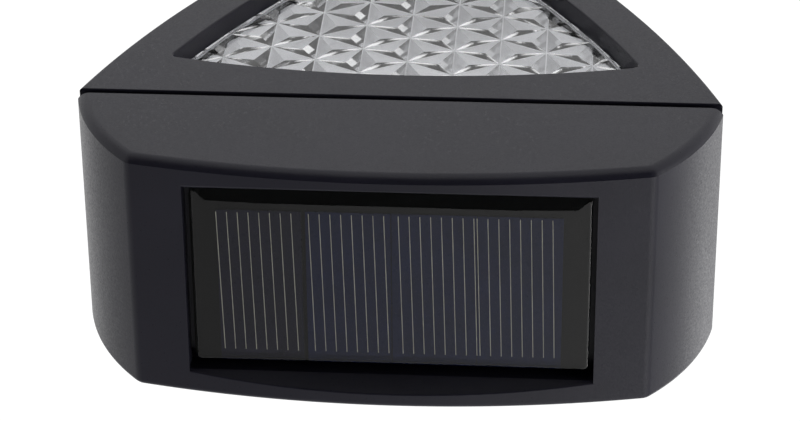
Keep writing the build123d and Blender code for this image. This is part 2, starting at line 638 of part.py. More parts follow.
with BuildPart() as panel_pad:
    with BuildSketch(Plane(place(0, PANEL_CENTRE, POCKET_FLOOR_Z))):
        Rectangle(PANEL_WIDTH - 2 * PAD_INSET, PANEL_LENGTH - 2 * PAD_INSET)
        with Locations((0, PANEL_CENTRE - PANEL_LEAD_DEPTH)):
            SlotOverall(*PANEL_LEAD_SLOT, mode=Mode.SUBTRACT)
    extrude(amount=PANEL_PAD)
save(panel_pad.part, "panel_pad")

with BuildPart() as panel_board:
    with BuildSketch(panel_base):
        RectangleRounded(PANEL_WIDTH, PANEL_LENGTH, PANEL_RADIUS)
    extrude(amount=PANEL_BOARD)
save(panel_board.part, "panel_board")

with BuildPart() as panel_resin:
    with BuildSketch(panel_base.offset(PANEL_BOARD)):
        RectangleRounded(PANEL_WIDTH, PANEL_LENGTH, PANEL_RADIUS)
    extrude(amount=RESIN)
    fillet(panel_resin.edges().group_by(Axis.Z)[-1], RESIN_EDGE)
    with BuildSketch(panel_base.offset(PANEL_BOARD)):
        with Locations(*((-left - CELL_WIDTH / 2, CELL_SHIFT) for left in CELL_LEFTS)):
            Rectangle(CELL_WIDTH, CELL_LENGTH)
    extrude(amount=CELL_THICKNESS, mode=Mode.SUBTRACT)
save(panel_resin.part, "panel_resin")

for number, left in enumerate(CELL_LEFTS, 1):
    with BuildPart() as solar_cell:
        with BuildSketch(panel_base.offset(PANEL_BOARD)):
            with Locations((-left - CELL_WIDTH / 2, CELL_SHIFT)):
                Rectangle(CELL_WIDTH, CELL_LENGTH)
        extrude(amount=CELL_THICKNESS)
    save(solar_cell.part, f"solar_cell_{number}")

# ================================================================ back plate
KEYHOLES = ((KEYHOLE_HALF, 0), (-KEYHOLE_HALF, 0))
DOOR_SCREWS = ((DOOR_SCREW_X, BATTERY_Z), (-DOOR_SCREW_X, BATTERY_Z))
LEAD_DEPTH = BAY_FLOOR - BAY_LEAD_GAP


def keyhole_shape(radius):
    """A slot as wide as this radius, from the entry hole up to the neck's end."""
    for spot in KEYHOLES:
        with Locations(spot, (spot[0], spot[1] + KEYHOLE_LIFT)):
            Circle(radius)
        with Locations((spot[0], spot[1] + KEYHOLE_LIFT / 2)):
            Rectangle(2 * radius, KEYHOLE_LIFT)


with BuildPart() as back_plate:
    with BuildSketch(at_depth(0)):
        add(plate_outline.sketch)
    extrude(amount=PLATE)
    # closed pockets behind the keyholes, the switch's well, the battery bay and the posts
    with BuildSketch(at_depth(PLATE)):
        keyhole_shape(KEYHOLE_ENTRY + FIT + KEYHOLE_WALL)
    extrude(amount=KEYHOLE_POCKET + KEYHOLE_WALL)
    with BuildSketch(at_depth(PLATE)):
        with Locations((0, SWITCH_Z)):
            RectangleRounded(WELL[0] + 2 * WELL_WALL, WELL[1] + 2 * WELL_WALL, 2)
    extrude(amount=WELL_OUT - PLATE)
    with BuildSketch(at_depth(0)):
        with Locations((0, BATTERY_Z)):
            Rectangle(2 * DOOR_HALF_WIDTH, 2 * DOOR_HALF_HEIGHT)
    extrude(amount=LEDGE_DEPTH + DOOR_BLOCK)
    with BuildSketch(at_depth(0)):
        with Locations((0, BATTERY_Z)):
            Rectangle(2 * (BAY_HALF_LENGTH + BAY_WALL), 2 * DOOR_HALF_HEIGHT)
    extrude(amount=BAY_FLOOR + BAY_WALL)
    with BuildSketch(at_depth(PLATE)):
        with Locations(*POSTS):
            Circle(POST_RADIUS)
    extrude(amount=REFLECTOR_BACK - PLATE)
    # hollows
    with BuildSketch(at_depth(PLATE)):
        keyhole_shape(KEYHOLE_ENTRY + FIT)
    extrude(amount=KEYHOLE_POCKET, mode=Mode.SUBTRACT)
    with BuildSketch(at_depth(0)):
        keyhole_shape(KEYHOLE_NECK)
        with Locations(*KEYHOLES):
            Circle(KEYHOLE_ENTRY)
    extrude(amount=PLATE, mode=Mode.SUBTRACT)
    with BuildSketch(at_depth(0)):
        with Locations((0, SWITCH_Z)):
            RectangleRounded(*WELL, 1.5)
    extrude(amount=WELL_DEPTH, mode=Mode.SUBTRACT)
    with BuildSketch(at_depth(0)):
        with Locations((0, SWITCH_Z)):
            Rectangle(KNOB[0] + SWITCH_TRAVEL + 2 * SLOT_FIT, KNOB[1] + 2 * SLOT_FIT)
    extrude(amount=WELL_OUT, mode=Mode.SUBTRACT)
    with BuildSketch(at_depth(0)):
        with Locations((0, BATTERY_Z)):
            RectangleRounded(2 * (DOOR_HALF_WIDTH + FIT), 2 * (DOOR_HALF_HEIGHT + FIT), DOOR_RADIUS + FIT)
    extrude(amount=LEDGE_DEPTH, mode=Mode.SUBTRACT)
    with BuildSketch(at_depth(0)):
        with Locations((0, BATTERY_Z)):
            Rectangle(2 * BAY_HALF_LENGTH, 2 * BAY_HALF_HEIGHT)
    extrude(amount=BAY_FLOOR, mode=Mode.SUBTRACT)
    with BuildSketch(at_depth(0)):
        with Locations(*DOOR_SCREWS):
            Circle(DOOR_SCREW[2] + DOOR_PILOT_FIT)
    extrude(amount=DOOR_SCREW[1] + DOOR_SCREW[3] + PILOT_SPARE, mode=Mode.SUBTRACT)
    with BuildSketch(Plane.YZ.offset(-WIDTH / 2)):
        with Locations((-LEAD_DEPTH, BATTERY_Z)):
            Circle(BAY_LEAD_HOLE)
    extrude(amount=WIDTH, mode=Mode.SUBTRACT)
    # counterbores for the plate's own screws
    with BuildSketch(at_depth(0)):
        with Locations(*PLATE_SCREWS):
            Circle(PLATE_SCREW[0] + HEAD_FIT)
    extrude(amount=PLATE_SCREW[1] + HEAD_SETBACK, mode=Mode.SUBTRACT)
    with BuildSketch(at_depth(0)):
        with Locations(*PLATE_SCREWS):
            Circle(PLATE_SCREW[2] + HEAD_FIT)
    extrude(amount=PLATE, mode=Mode.SUBTRACT)
save(back_plate.part, "back_plate")

with BuildPart() as back_plate_screws:
    with Locations(*(at_depth(HEAD_SETBACK).location * Location((x, z, 0)) for x, z in PLATE_SCREWS)):
        add(tapping_screw(PLATE_SCREW))
save(back_plate_screws.part, "back_plate_screws")

# ================================================================ battery, contacts and door
with BuildPart() as battery_cell:
    with BuildSketch(Plane.YZ.offset(BATTERY_NUB_X - CELL_AAA_LENGTH)):
        with Locations((-BATTERY_DEPTH, BATTERY_Z)):
            Circle(CELL_AAA_RADIUS)
    extrude(amount=CELL_AAA_LENGTH - CELL_NUB)
    fillet(battery_cell.edges().filter_by(GeomType.CIRCLE), BATTERY_EDGE)
    with BuildSketch(Plane.YZ.offset(BATTERY_NUB_X - CELL_NUB)):
        with Locations((-BATTERY_DEPTH, BATTERY_Z)):
            Circle(CELL_NUB_RADIUS)
    extrude(amount=CELL_NUB)
save(battery_cell.part, "battery_cell")

for name, x in (("contact_plate", BATTERY_NUB_X), ("spring_plate", -BAY_HALF_LENGTH)):
    with BuildPart() as contact:
        with BuildSketch(Plane.YZ.offset(x)):
            with Locations((-BAY_FLOOR + CONTACT_SIZE / 2, BATTERY_Z)):
                Rectangle(CONTACT_SIZE, CONTACT_SIZE)
        extrude(amount=CONTACT)
    save(contact.part, name)

with BuildPart() as contact_spring:
    spring_origin = place(-BAY_HALF_LENGTH + CONTACT + SPRING_WIRE, BATTERY_DEPTH, BATTERY_Z)
    spring_height = SPRING_LENGTH - 2 * SPRING_WIRE
    with BuildLine() as coil:
        Helix(
            pitch=spring_height / SPRING_TURNS,
            height=spring_height,
            radius=SPRING_BASE_RADIUS,
            center=spring_origin,
            direction=(1, 0, 0),
            cone_angle=-SPRING_TAPER,
        )
    with BuildSketch(Plane(origin=coil.line @ 0, z_dir=coil.line % 0)):
        Circle(SPRING_WIRE)
    sweep()
save(contact_spring.part, "contact_spring")

with BuildPart() as battery_door:
    with BuildSketch(at_depth(0)):
        with Locations((0, BATTERY_Z)):
            RectangleRounded(2 * DOOR_HALF_WIDTH, 2 * DOOR_HALF_HEIGHT, DOOR_RADIUS)
        with Locations(*DOOR_SCREWS):
            Circle(DOOR_SCREW[2] + HEAD_FIT, mode=Mode.SUBTRACT)
    extrude(amount=DOOR)
    with BuildSketch(at_depth(0)):
        with Locations(*DOOR_SCREWS):
            Circle(DOOR_SCREW[0] + HEAD_FIT)
    extrude(amount=DOOR_SCREW[1], mode=Mode.SUBTRACT)
save(battery_door.part, "battery_door")

with BuildPart() as battery_door_seal:
    with BuildSketch(at_depth(DOOR)):
        with Locations((0, BATTERY_Z)):
            Rectangle(2 * (BAY_HALF_LENGTH + BAY_WALL) - FIT, 2 * DOOR_HALF_HEIGHT - FIT)
            Rectangle(
                2 * (BAY_HALF_LENGTH + BAY_WALL - DOOR_SEAL_WIDTH) - FIT,
                2 * (DOOR_HALF_HEIGHT - DOOR_SEAL_WIDTH) - FIT,
                mode=Mode.SUBTRACT,
            )
    extrude(amount=DOOR_SEAL)
save(battery_door_seal.part, "battery_door_seal")

with BuildPart() as battery_door_screws:
    with Locations(*(at_depth(0).location * Location((x, z, 0)) for x, z in DOOR_SCREWS)):
        add(tapping_screw(DOOR_SCREW))
save(battery_door_screws.part, "battery_door_screws")

# ================================================================ switch
with BuildPart() as switch_body:
    with BuildSketch(at_depth(WELL_OUT)):
        with Locations((0, SWITCH_Z)):
            Rectangle(SWITCH_BODY[0], SWITCH_BODY[1])
    extrude(amount=SWITCH_BODY[2])
    with BuildSketch(at_depth(WELL_OUT)):
        with Locations((0, SWITCH_Z)):
            Rectangle(KNOB[0] + SWITCH_TRAVEL + 2 * SLOT_FIT, KNOB[1] + 2 * SLOT_FIT)
    extrude(amount=KNOB_ROOT + SLOT_FIT, mode=Mode.SUBTRACT)
save(switch_body.part, "switch_body")

with BuildPart() as switch_knob:
    with BuildSketch(at_depth(KNOB_SETBACK)):
        with Locations((-SWITCH_TRAVEL / 2, SWITCH_Z)):
            Rectangle(*KNOB)
    extrude(amount=WELL_OUT + KNOB_ROOT - KNOB_SETBACK)
    fillet(switch_knob.edges().group_by(Axis.Y)[-1], KNOB_EDGE)
save(switch_knob.part, "switch_knob")

# ================================================================ leads
bend_x = BAY_HALF_LENGTH + BATTERY_LEAD_REACH
board_x = BOARD_WIDTH / 2 - BOARD_LEAD_INSET
drop_z = BATTERY_Z - BATTERY_LEAD_DROP
for name, side in (("battery_lead_plus", 1), ("battery_lead_minus", -1)):
    lead(
        name,
        [
            place(side * BAY_HALF_LENGTH, LEAD_DEPTH, BATTERY_Z),
            place(side * bend_x, LEAD_DEPTH, BATTERY_Z),
            place(side * bend_x, BOARD_LEAD_DEPTH, drop_z),
            place(side * board_x, BOARD_LEAD_DEPTH, drop_z),
            place(side * board_x, BOARD_LEAD_DEPTH, BOARD_TOP_Z),
        ],
        BEND,
    )

land_x = PANEL_LEAD_HALF + PANEL_LEAD_SPLAY
land_depth = BOARD_CENTRE_DEPTH + PANEL_LEAD_LAND
for name, side in (("panel_lead_plus", 1), ("panel_lead_minus", -1)):
    lead(
        name,
        [
            place(side * PANEL_LEAD_HALF, PANEL_LEAD_DEPTH, PANEL_LOW_Z),
            place(side * PANEL_LEAD_HALF, PANEL_LEAD_DEPTH, PANEL_LOW_Z - PANEL_LEAD_DROP),
            place(side * land_x, land_depth, BOARD_TOP_Z + PANEL_LEAD_DROP),
            place(side * land_x, land_depth, BOARD_TOP_Z),
        ],
        WIDE_BEND,
    )

tag_z = SWITCH_Z + SWITCH_BODY[1] / 2
tag_depth = WELL_OUT + SWITCH_TAG
behind_reflector = REFLECTOR_BACK - REFLECTOR_LEAD_GAP
under_partition = PARTITION_LOW_Z - PARTITION_LEAD_GAP
for name, x in (("switch_lead_1", SWITCH_LEAD_HALF), ("switch_lead_2", -SWITCH_LEAD_HALF)):
    lead(
        name,
        [
            place(x, tag_depth, tag_z),
            place(x, tag_depth, tag_z + SWITCH_LEAD_RISE),
            place(x, behind_reflector, tag_z + SWITCH_LEAD_RISE + SWITCH_LEAD_SLOPE),
            place(x, behind_reflector, under_partition),
            place(x, BOARD_LEAD_DEPTH, under_partition),
            place(x, BOARD_LEAD_DEPTH, BOARD_LOW_Z),
        ],
        TIGHT_BEND,
    )
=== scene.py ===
"""A small solar fence light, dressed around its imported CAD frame.

The light hangs as it does on a fence: +Z is up with the solar panel on top, the lens looks out towards -Y
and the flat back stands at Y = 0. Lengths are in millimetres in this file and are turned to metres where a
mesh is made. A "depth" is a distance in front of the back face, towards the lens, as in the part's source.
"""

from math import atan2, cos, pi, radians, sin, sqrt, tan

import bmesh
import bpy
import numpy as np
from bpy.props import FloatProperty, FloatVectorProperty, IntProperty, PointerProperty
from bpy.types import Operator, Panel, PropertyGroup
from mathutils import Matrix, Vector


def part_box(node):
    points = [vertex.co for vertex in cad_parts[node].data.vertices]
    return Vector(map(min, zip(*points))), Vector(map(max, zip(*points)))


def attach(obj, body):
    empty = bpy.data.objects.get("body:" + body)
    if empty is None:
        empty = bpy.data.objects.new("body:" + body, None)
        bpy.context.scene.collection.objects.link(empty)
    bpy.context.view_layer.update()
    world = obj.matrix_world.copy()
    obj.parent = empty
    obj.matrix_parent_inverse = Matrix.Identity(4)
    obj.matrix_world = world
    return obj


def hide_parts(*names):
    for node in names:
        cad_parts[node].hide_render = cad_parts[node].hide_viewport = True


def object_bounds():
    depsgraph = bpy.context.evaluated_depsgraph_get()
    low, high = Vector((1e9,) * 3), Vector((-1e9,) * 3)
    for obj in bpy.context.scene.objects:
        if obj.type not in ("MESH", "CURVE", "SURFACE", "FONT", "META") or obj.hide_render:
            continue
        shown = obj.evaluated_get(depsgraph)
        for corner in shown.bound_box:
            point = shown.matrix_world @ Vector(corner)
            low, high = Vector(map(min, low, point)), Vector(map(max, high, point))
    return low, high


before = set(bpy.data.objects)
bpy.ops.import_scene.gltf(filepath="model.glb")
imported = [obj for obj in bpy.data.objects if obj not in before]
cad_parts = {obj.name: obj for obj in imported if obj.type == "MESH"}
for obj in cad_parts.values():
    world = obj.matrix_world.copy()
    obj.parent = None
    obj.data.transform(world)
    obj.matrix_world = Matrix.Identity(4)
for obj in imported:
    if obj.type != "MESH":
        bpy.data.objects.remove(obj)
CAD_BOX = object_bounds()

bl_info = {
    "name": "Solar Fence Light",
    "version": (1, 0, 0),
    "blender": (4, 5, 0),
    "location": "3D View > Sidebar > Fence Light",
    "description": "Dresses the fence light's frame with its housings, panel, lens and finishes",
    "category": "Object",
}

MM = 0.001
WELD = 0.002  # points this close, in millimetres, become one

# ------------------------------------------------ the light's outline, as in the part's source
DEPTH = 40.0
SEAM_Z = 14.0
SEAM_GAP = 1.3
HALF_WIDTH = 49.45
SIDE_RADIUS = 190.0
SIDE_LEAN = radians(18)
TOE_RADIUS = 17.6
SHOULDER_RADIUS = 40.0
SHOULDER_LEAN = radians(10)
CROWN_TOP_Z = 39.0
CROWN_RADIUS = 177.0
HEAD_CORNER, HEAD_CORNER_LEAST = 2.5, 0.02
WALL = 2.2
PARTITION = 2.0
PLATE = 2.5
HEAD_ROOF_Z = 31.0

SIDE_CENTRE = (HALF_WIDTH - SIDE_RADIUS * cos(SIDE_LEAN), SEAM_Z + SIDE_RADIUS * sin(SIDE_LEAN))
TOE_CENTRE = (0.0, SIDE_CENTRE[1] - sqrt((SIDE_RADIUS - TOE_RADIUS) ** 2 - SIDE_CENTRE[0] ** 2))
TOE_Z = TOE_CENTRE[1] - TOE_RADIUS
SHOULDER_CENTRE = (
    HALF_WIDTH - SHOULDER_RADIUS * cos(SHOULDER_LEAN),
    SEAM_Z - SHOULDER_RADIUS * sin(SHOULDER_LEAN),
)
CROWN_CENTRE = (0.0, CROWN_TOP_Z - CROWN_RADIUS)
SHIELD_TOP_Z = SEAM_Z - SEAM_GAP / 2
HEAD_LOW_Z = SEAM_Z + SEAM_GAP / 2

# ------------------------------------------------ window and panel pocket
BEZEL_BORDER = 7.5
WINDOW_TOP_CENTRE = (0.0, SEAM_Z - 7.9 - 150.0)
WINDOW_TOP_RADIUS = 150.0
WINDOW_TOE_CENTRE = (0.0, TOE_Z + 13.5 + 60.0)
WINDOW_TOE_RADIUS = 60.0
WINDOW_CORNER = 1.0
COLLAR_END = 35.7
COLLAR_WALL = 1.6
LENS_FIT = 0.25
LENS_FRONT = 37.1
LENS_FLANGE = 2.0
LENS_FLANGE_FRONT = 34.9
LENS_BACK = 33.4
STAR_SPACING = 8.47
COLUMN_STEP = STAR_SPACING * sqrt(3) / 2
STAR_Z = SEAM_Z - 18.1  # where a star of the middle column shows on the lens's face
STAR_BASE = 35.1  # depth of the ridges between the facets, on the lens's inner side
STAR_SLANT = 0.713  # how far the refracted view runs down for each millimetre of lens
STAR_COLUMNS = np.arange(-8, 9)  # enough to cover the window
STAR_ROWS = np.arange(-9, 5)
STAR_BORDER = 0.3  # plain plastic left round the pyramids
STAR_FLOOR = LENS_BACK - 3  # depth of the cutter's plain end
PRISM_FLOOR = LENS_BACK - 4
PANEL_TOP_Z = 36.0
POCKET_HALF_WIDTH = 30.75
POCKET_BACK = 4.1
POCKET_FRONT = 35.9
POCKET_FLOOR_Z = 32.8
POCKET_FLARE, POCKET_FLARE_LEAST = radians(28), 0.2
CREASE_START = radians(28)
PANEL_CORNER, PANEL_CORNER_LEAST = 0.8, 0.05
COVER_SIZE = (59.5, 29.9)  # the epoxy runs up to the pocket's front wall
COVER_DEPTH = 20.85  # of its middle
COVER_SHIFT = -0.25  # it was poured a little off the board's middle
BACK_DOME = 0.12  # share of the dome that its long edge at the fence side has
COVER_RIM = 0.35  # radius of the epoxy's own edge
COVER_RIM_STEPS, COVER_STEPS = 5, 16  # rings on that edge, and from there to the flat top
COVER_FOOT = 1.2  # width of the strip that it closes underneath
COVER_SINK = 0.05  # how far it runs down over the board
DOME_RISE = 2.3  # power by which the dome comes up away from a corner
DOME_FALL = 2.5  # power by which it falls off towards its edge
DOME_LEAST = 0.02  # share of the dome at the corners
BOARD_TOP_Z = 34.2
CELL_TOP_Z = 34.5
FIRST_FINGERS = (25.6, 11.8, -1.56, -13.24)  # X of each cell's first finger
FINGERS_PER_CELL = 8
FINGER_PITCH = 1.6
FINGER_SLANT = 0.6
FINGER_NEAR = 0.35  # from the cell's front edge to a finger's end
FINGER_FAR = 1.4  # from the cell's back edge to its other end
FINGER_THICKNESS = 0.03

# ------------------------------------------------ the photograph's camera
CAMERA_PLACE = (-28.7, -252.3, 418.7)
CAMERA_RIGHT = (-0.9975, 0.0, -0.0706)
CAMERA_UP = (0.0350, -0.8681, -0.4952)
CAMERA_ROLL = radians(-0.46)
CAMERA_LENS = 135.0

# ------------------------------------------------ the stage, in metres and in shares of white
FLOOR_Z = -0.4
FLOOR_LEFT, FLOOR_RIGHT, FLOOR_FAR = -3.0, 0.45, 3.0
FLOOR_GLOW, FLOOR_SHARE = 1.12, 0.9  # strength where the floor is seen, and its share against the lit paint
CARD_DISTANCE = 0.9
CARD_HALF_WIDTH = 1.2
CARD_HIGH = 1.15  # towards the fence
CARD_LOW = 1.1  # towards the floor
CARD_PAINT = 0.004
WORLD_SIDES = (-0.6, 0.12)  # directions, by their X, between which the world's light falls off
WORLD_LEVELS = (2.75, 0.52)
HORIZON = (0.2, 0.55)  # directions, by their Z, between which the horizon's light gives way to it
HORIZON_LEVEL = 0.75
LAMPS = (  # name, place and target in millimetres, size in millimetres, power in watts
    ("front", (-100, -1200, -60), (0, -20, 20), 600, 0.6),
    ("right", (-900, -250, 50), (0, -20, 0), 500, 1.0),
    ("low_right", (-330, 300, -370), (0, -20, 0), 350, 0.36),
    ("window_fill", (0, -33, -12), (0, 0, -12), 36, 0.0024),
)


def srgb(code):
    """An sRGB hex colour as linear red, green and blue."""
    steps = np.array([int(code[i : i + 2], 16) for i in (1, 3, 5)]) / 255
    return tuple(np.where(steps <= 0.04045, steps / 12.92, ((steps + 0.055) / 1.055) ** 2.4))


# ================================================ what a user would change
class FenceLightSizes(PropertyGroup):
    """Sizes of the moulded details, in millimetres."""

    bezel_edge: FloatProperty(
        name="Bezel Edge",
        description="Radius round the lens housing's front face, in millimetres",
        default=0.45,
        min=0.0,
    )
    rim_edge: FloatProperty(
        name="Rim Edge",
        description="Radius of the small moulded edges, in millimetres",
        default=0.25,
        min=0.0,
    )
    back_edge: FloatProperty(
        name="Back Edge",
        description="Radius round the back of both mouldings, in millimetres",
        default=0.9,
        min=0.0,
    )
    crease: FloatProperty(
        name="Crease",
        description="Radius between the head's front face and its curved wall, in millimetres",
        default=2.1,
        min=0.0,
    )
    dome_reach: FloatProperty(
        name="Dome Reach",
        description="How far in from its edge the epoxy cover still falls away, in millimetres",
        default=3.0,
        min=0.0,
    )
    dome_drop: FloatProperty(
        name="Dome Drop",
        description="How far the epoxy's shoulder falls below its flat top, in millimetres",
        default=0.8,
        min=0.0,
    )
    dome_corner: FloatProperty(
        name="Dome Corner",
        description="How far from a corner the epoxy's long edges fall less, in millimetres",
        default=5.5,
        min=0.0,
    )
    finger_width: FloatProperty(
        name="Finger Width",
        description="Width of a cell's silver finger, in millimetres",
        default=0.11,
        min=0.0,
    )
    star_height: FloatProperty(
        name="Star Height",
        description="Height of the lens's inner pyramids, in millimetres",
        default=0.8,
        min=0.0,
    )
    star_ridge: FloatProperty(
        name="Star Ridge",
        description="Flat ridge left round each pyramid's base, in millimetres",
        default=0.2,
        min=0.0,
    )
    lens_edge: FloatProperty(
        name="Lens Edge",
        description="Broken edge round the lens's face, in millimetres",
        default=0.3,
        min=0.0,
    )
    curve_steps: IntProperty(name="Curve Steps", description="Points across a rounded edge", default=7, min=3)


class FenceLightColours(PropertyGroup):
    """Colours of the finishes."""

    housing: FloatVectorProperty(
        name="Housing",
        description="Black moulded ABS",
        subtype="COLOR",
        size=3,
        min=0.0,
        max=1.0,
        default=srgb("#262530"),
    )
    back: FloatVectorProperty(
        name="Back Plate",
        description="Black ABS of the back",
        subtype="COLOR",
        size=3,
        min=0.0,
        max=1.0,
        default=srgb("#232328"),
    )
    silicon: FloatVectorProperty(
        name="Silicon",
        description="Anti-reflection coated cells",
        subtype="COLOR",
        size=3,
        min=0.0,
        max=1.0,
        default=srgb("#182048"),
    )
    violet_silicon: FloatVectorProperty(
        name="Violet Silicon",
        description="The cell with a thinner coat",
        subtype="COLOR",
        size=3,
        min=0.0,
        max=1.0,
        default=srgb("#1c1a32"),
    )
    fingers: FloatVectorProperty(
        name="Fingers",
        description="Printed silver paste",
        subtype="COLOR",
        size=3,
        min=0.0,
        max=1.0,
        default=srgb("#ece8d4"),
    )
    lens: FloatVectorProperty(
        name="Lens",
        description="Clear acrylic",
        subtype="COLOR",
        size=3,
        min=0.0,
        max=1.0,
        default=srgb("#f6f7f8"),
    )


# ================================================ curves as arrays of points
def arc(centre, radius, start, end, count):
    """Points on a circle: the centre plus the radius times (cosine, sine) of an angle that grows evenly."""
    angle = np.linspace(start, end, count)
    return np.stack([centre[0] + radius * np.cos(angle), centre[1] + radius * np.sin(angle)], -1)


def crossing(first, first_radius, second, second_radius, hand=1):
    """Where two circles cross: along the centres' line by (r1^2 - r2^2 + d^2) / 2d, then aside to a hand."""
    a, b = np.array(first), np.array(second)
    gap = np.linalg.norm(b - a)
    along = (first_radius**2 - second_radius**2 + gap**2) / (2 * gap)
    aside = sqrt(first_radius**2 - along**2)
    unit = (b - a) / gap
    normal = np.array([-unit[1], unit[0]])
    return a + unit * along + hand * normal * aside


def heading(centre, point):
    """Angle of the line from a centre to a point."""
    return atan2(point[1] - centre[1], point[0] - centre[0])


def mirrored(half):
    """A half outline that ends on the middle line, followed by its mirror image."""
    return np.concatenate([half, half[::-1][1:] * (-1, 1)])


SIDE_STEPS = 49
TOE_STEPS = 29
SEAM_STEPS = 60
UPPER_CORNER_STEPS = 6
LOWER_CORNER_STEPS = 10


def shield_ring(inset, seam_inset):
    """The lens housing's outline moved inwards: side arc, toe arc, side arc, then the straight seam line.

    Each arc keeps its centre and its radius shrinks by the inset, so that every ring has the same stations.
    """
    top = SHIELD_TOP_Z - seam_inset
    radius = SIDE_RADIUS - inset
    start = np.arcsin((top - SIDE_CENTRE[1]) / radius)
    join = heading(SIDE_CENTRE, TOE_CENTRE)
    side = arc(SIDE_CENTRE, radius, start, join, SIDE_STEPS)
    toe = arc(TOE_CENTRE, TOE_RADIUS - inset, join, -pi / 2, TOE_STEPS)[1:]
    around = mirrored(np.concatenate([side, toe]))
    seam = np.linspace(around[-1], around[0], SEAM_STEPS)[1:-1]
    return np.concatenate([around, seam])


def window_ring(growth):
    """The window's outline moved outwards, with as many stations on each stretch as shield_ring has.

    Four arcs joined by corner arcs, each of which touches its two neighbours from inside. The corners'
    stations are taken off the stretches beside them.
    """
    side = SIDE_RADIUS - BEZEL_BORDER
    high = crossing(SIDE_CENTRE, side - WINDOW_CORNER, WINDOW_TOP_CENTRE, WINDOW_TOP_RADIUS - WINDOW_CORNER)
    toe = WINDOW_TOE_RADIUS - WINDOW_CORNER
    low = crossing(SIDE_CENTRE, side - WINDOW_CORNER, WINDOW_TOE_CENTRE, toe, -1)
    high_top, high_side = heading(WINDOW_TOP_CENTRE, high), heading(SIDE_CENTRE, high)
    low_side, low_toe = heading(SIDE_CENTRE, low), heading(WINDOW_TOE_CENTRE, low)
    middle = (high_top + high_side) / 2
    corner = WINDOW_CORNER + growth
    toe_steps = TOE_STEPS + 2 - LOWER_CORNER_STEPS
    top_steps = SEAM_STEPS + 2 - 2 * UPPER_CORNER_STEPS
    half = np.concatenate(
        [
            arc(high, corner, middle, high_side, UPPER_CORNER_STEPS)[:-1],
            arc(SIDE_CENTRE, side + growth, high_side, low_side, SIDE_STEPS - UPPER_CORNER_STEPS),
            arc(low, corner, low_side, low_toe, LOWER_CORNER_STEPS)[1:],
            arc(WINDOW_TOE_CENTRE, WINDOW_TOE_RADIUS + growth, low_toe, -pi / 2, toe_steps)[1:],
        ]
    )
    upper = arc(high, corner, high_top, middle, UPPER_CORNER_STEPS)[:-1]
    across = arc(WINDOW_TOP_CENTRE, WINDOW_TOP_RADIUS + growth, pi - high_top, high_top, top_steps)
    top = np.concatenate([upper[::-1][:-1] * (-1, 1), across, upper[1:]])
    return np.concatenate([mirrored(half), top])


BACK_STEPS = 6
SHOULDER_STEPS = 34
CORNER_STEPS = 9
CROWN_STEPS = 8
POCKET_STEPS = 61
ROUND_MIDDLE = 0.3  # distance of a quarter round's middle from either side, as a share of its radius


def head_ring(inset, low_z=HEAD_LOW_Z):
    """The solar head's outline moved inwards, from the seam over the crown to the seam again.

    Shoulder arc, corner arc and crown arc keep their centres, and the crown's stations keep their X at every
    inset. Two of them stand at the pocket's ends.
    """
    within_shoulder, within_crown = SHOULDER_RADIUS - HEAD_CORNER, CROWN_RADIUS - HEAD_CORNER
    corner = crossing(SHOULDER_CENTRE, within_shoulder, CROWN_CENTRE, within_crown)
    to_corner, to_crown = heading(SHOULDER_CENTRE, corner), heading(CROWN_CENTRE, corner)
    radius = SHOULDER_RADIUS - inset
    start = np.arcsin((low_z - SHOULDER_CENTRE[1]) / radius)
    shoulder = arc(SHOULDER_CENTRE, radius, start, to_corner, SHOULDER_STEPS)
    turn = arc(corner, max(HEAD_CORNER - inset, HEAD_CORNER_LEAST), to_corner, to_crown, CORNER_STEPS)[1:]
    crown_radius = CROWN_RADIUS - inset
    x = np.concatenate(
        [
            np.linspace(turn[-1, 0], POCKET_HALF_WIDTH, CROWN_STEPS)[1:],
            np.linspace(POCKET_HALF_WIDTH, 0, POCKET_STEPS // 2 + 1),
        ]
    )
    crown = np.stack([x, CROWN_CENTRE[1] + np.sqrt(crown_radius**2 - x**2)], -1)
    return mirrored(np.concatenate([shoulder, turn, crown]))


def rounding(radius, steps, start=0.0):
    """A quarter round as pairs of inset and drop: radius * (cos start - cosine) and radius * (1 - sine).

    It begins at the side, with a crisp edge where the start isn't 0.
    """
    turn = np.linspace(start, pi / 2, steps)
    return list(zip(radius * (cos(start) - np.cos(turn)), radius * (1 - np.sin(turn))))


# ================================================ meshes
def at_depth(outline, depth):
    """A front outline of (x, z) points set at a depth, which may differ from point to point."""
    away = np.broadcast_to(-np.asarray(depth, float), len(outline))
    return np.stack([outline[:, 0], away, outline[:, 1]], -1)


def grid_faces(rows, columns, closed_rows, closed_columns, offset=0):
    """Four-sided faces of a grid whose point (row, column) has the number row * columns + column."""
    row = np.arange(rows if closed_rows else rows - 1)
    column = np.arange(columns if closed_columns else columns - 1)
    row, column = (a.ravel() for a in np.meshgrid(row, column, indexing="ij"))
    next_row, next_column = (row + 1) % rows, (column + 1) % columns
    corners = [row * columns + column, row * columns + next_column]
    corners += [next_row * columns + next_column, next_row * columns + column]
    return (np.stack(corners, -1) + offset).tolist()


def capped_faces(rows, columns):
    """Faces of a skin over closed rings, one row of the grid each, with a flat face over either end."""
    ends = [list(range(columns)), [(rows - 1) * columns + i for i in range(columns)][::-1]]
    return grid_faces(rows, columns, False, True) + ends


def linked(name, data):
    """A new object at the origin, in the scene."""
    made = bpy.data.objects.new(name, data)
    bpy.context.scene.collection.objects.link(made)
    return made


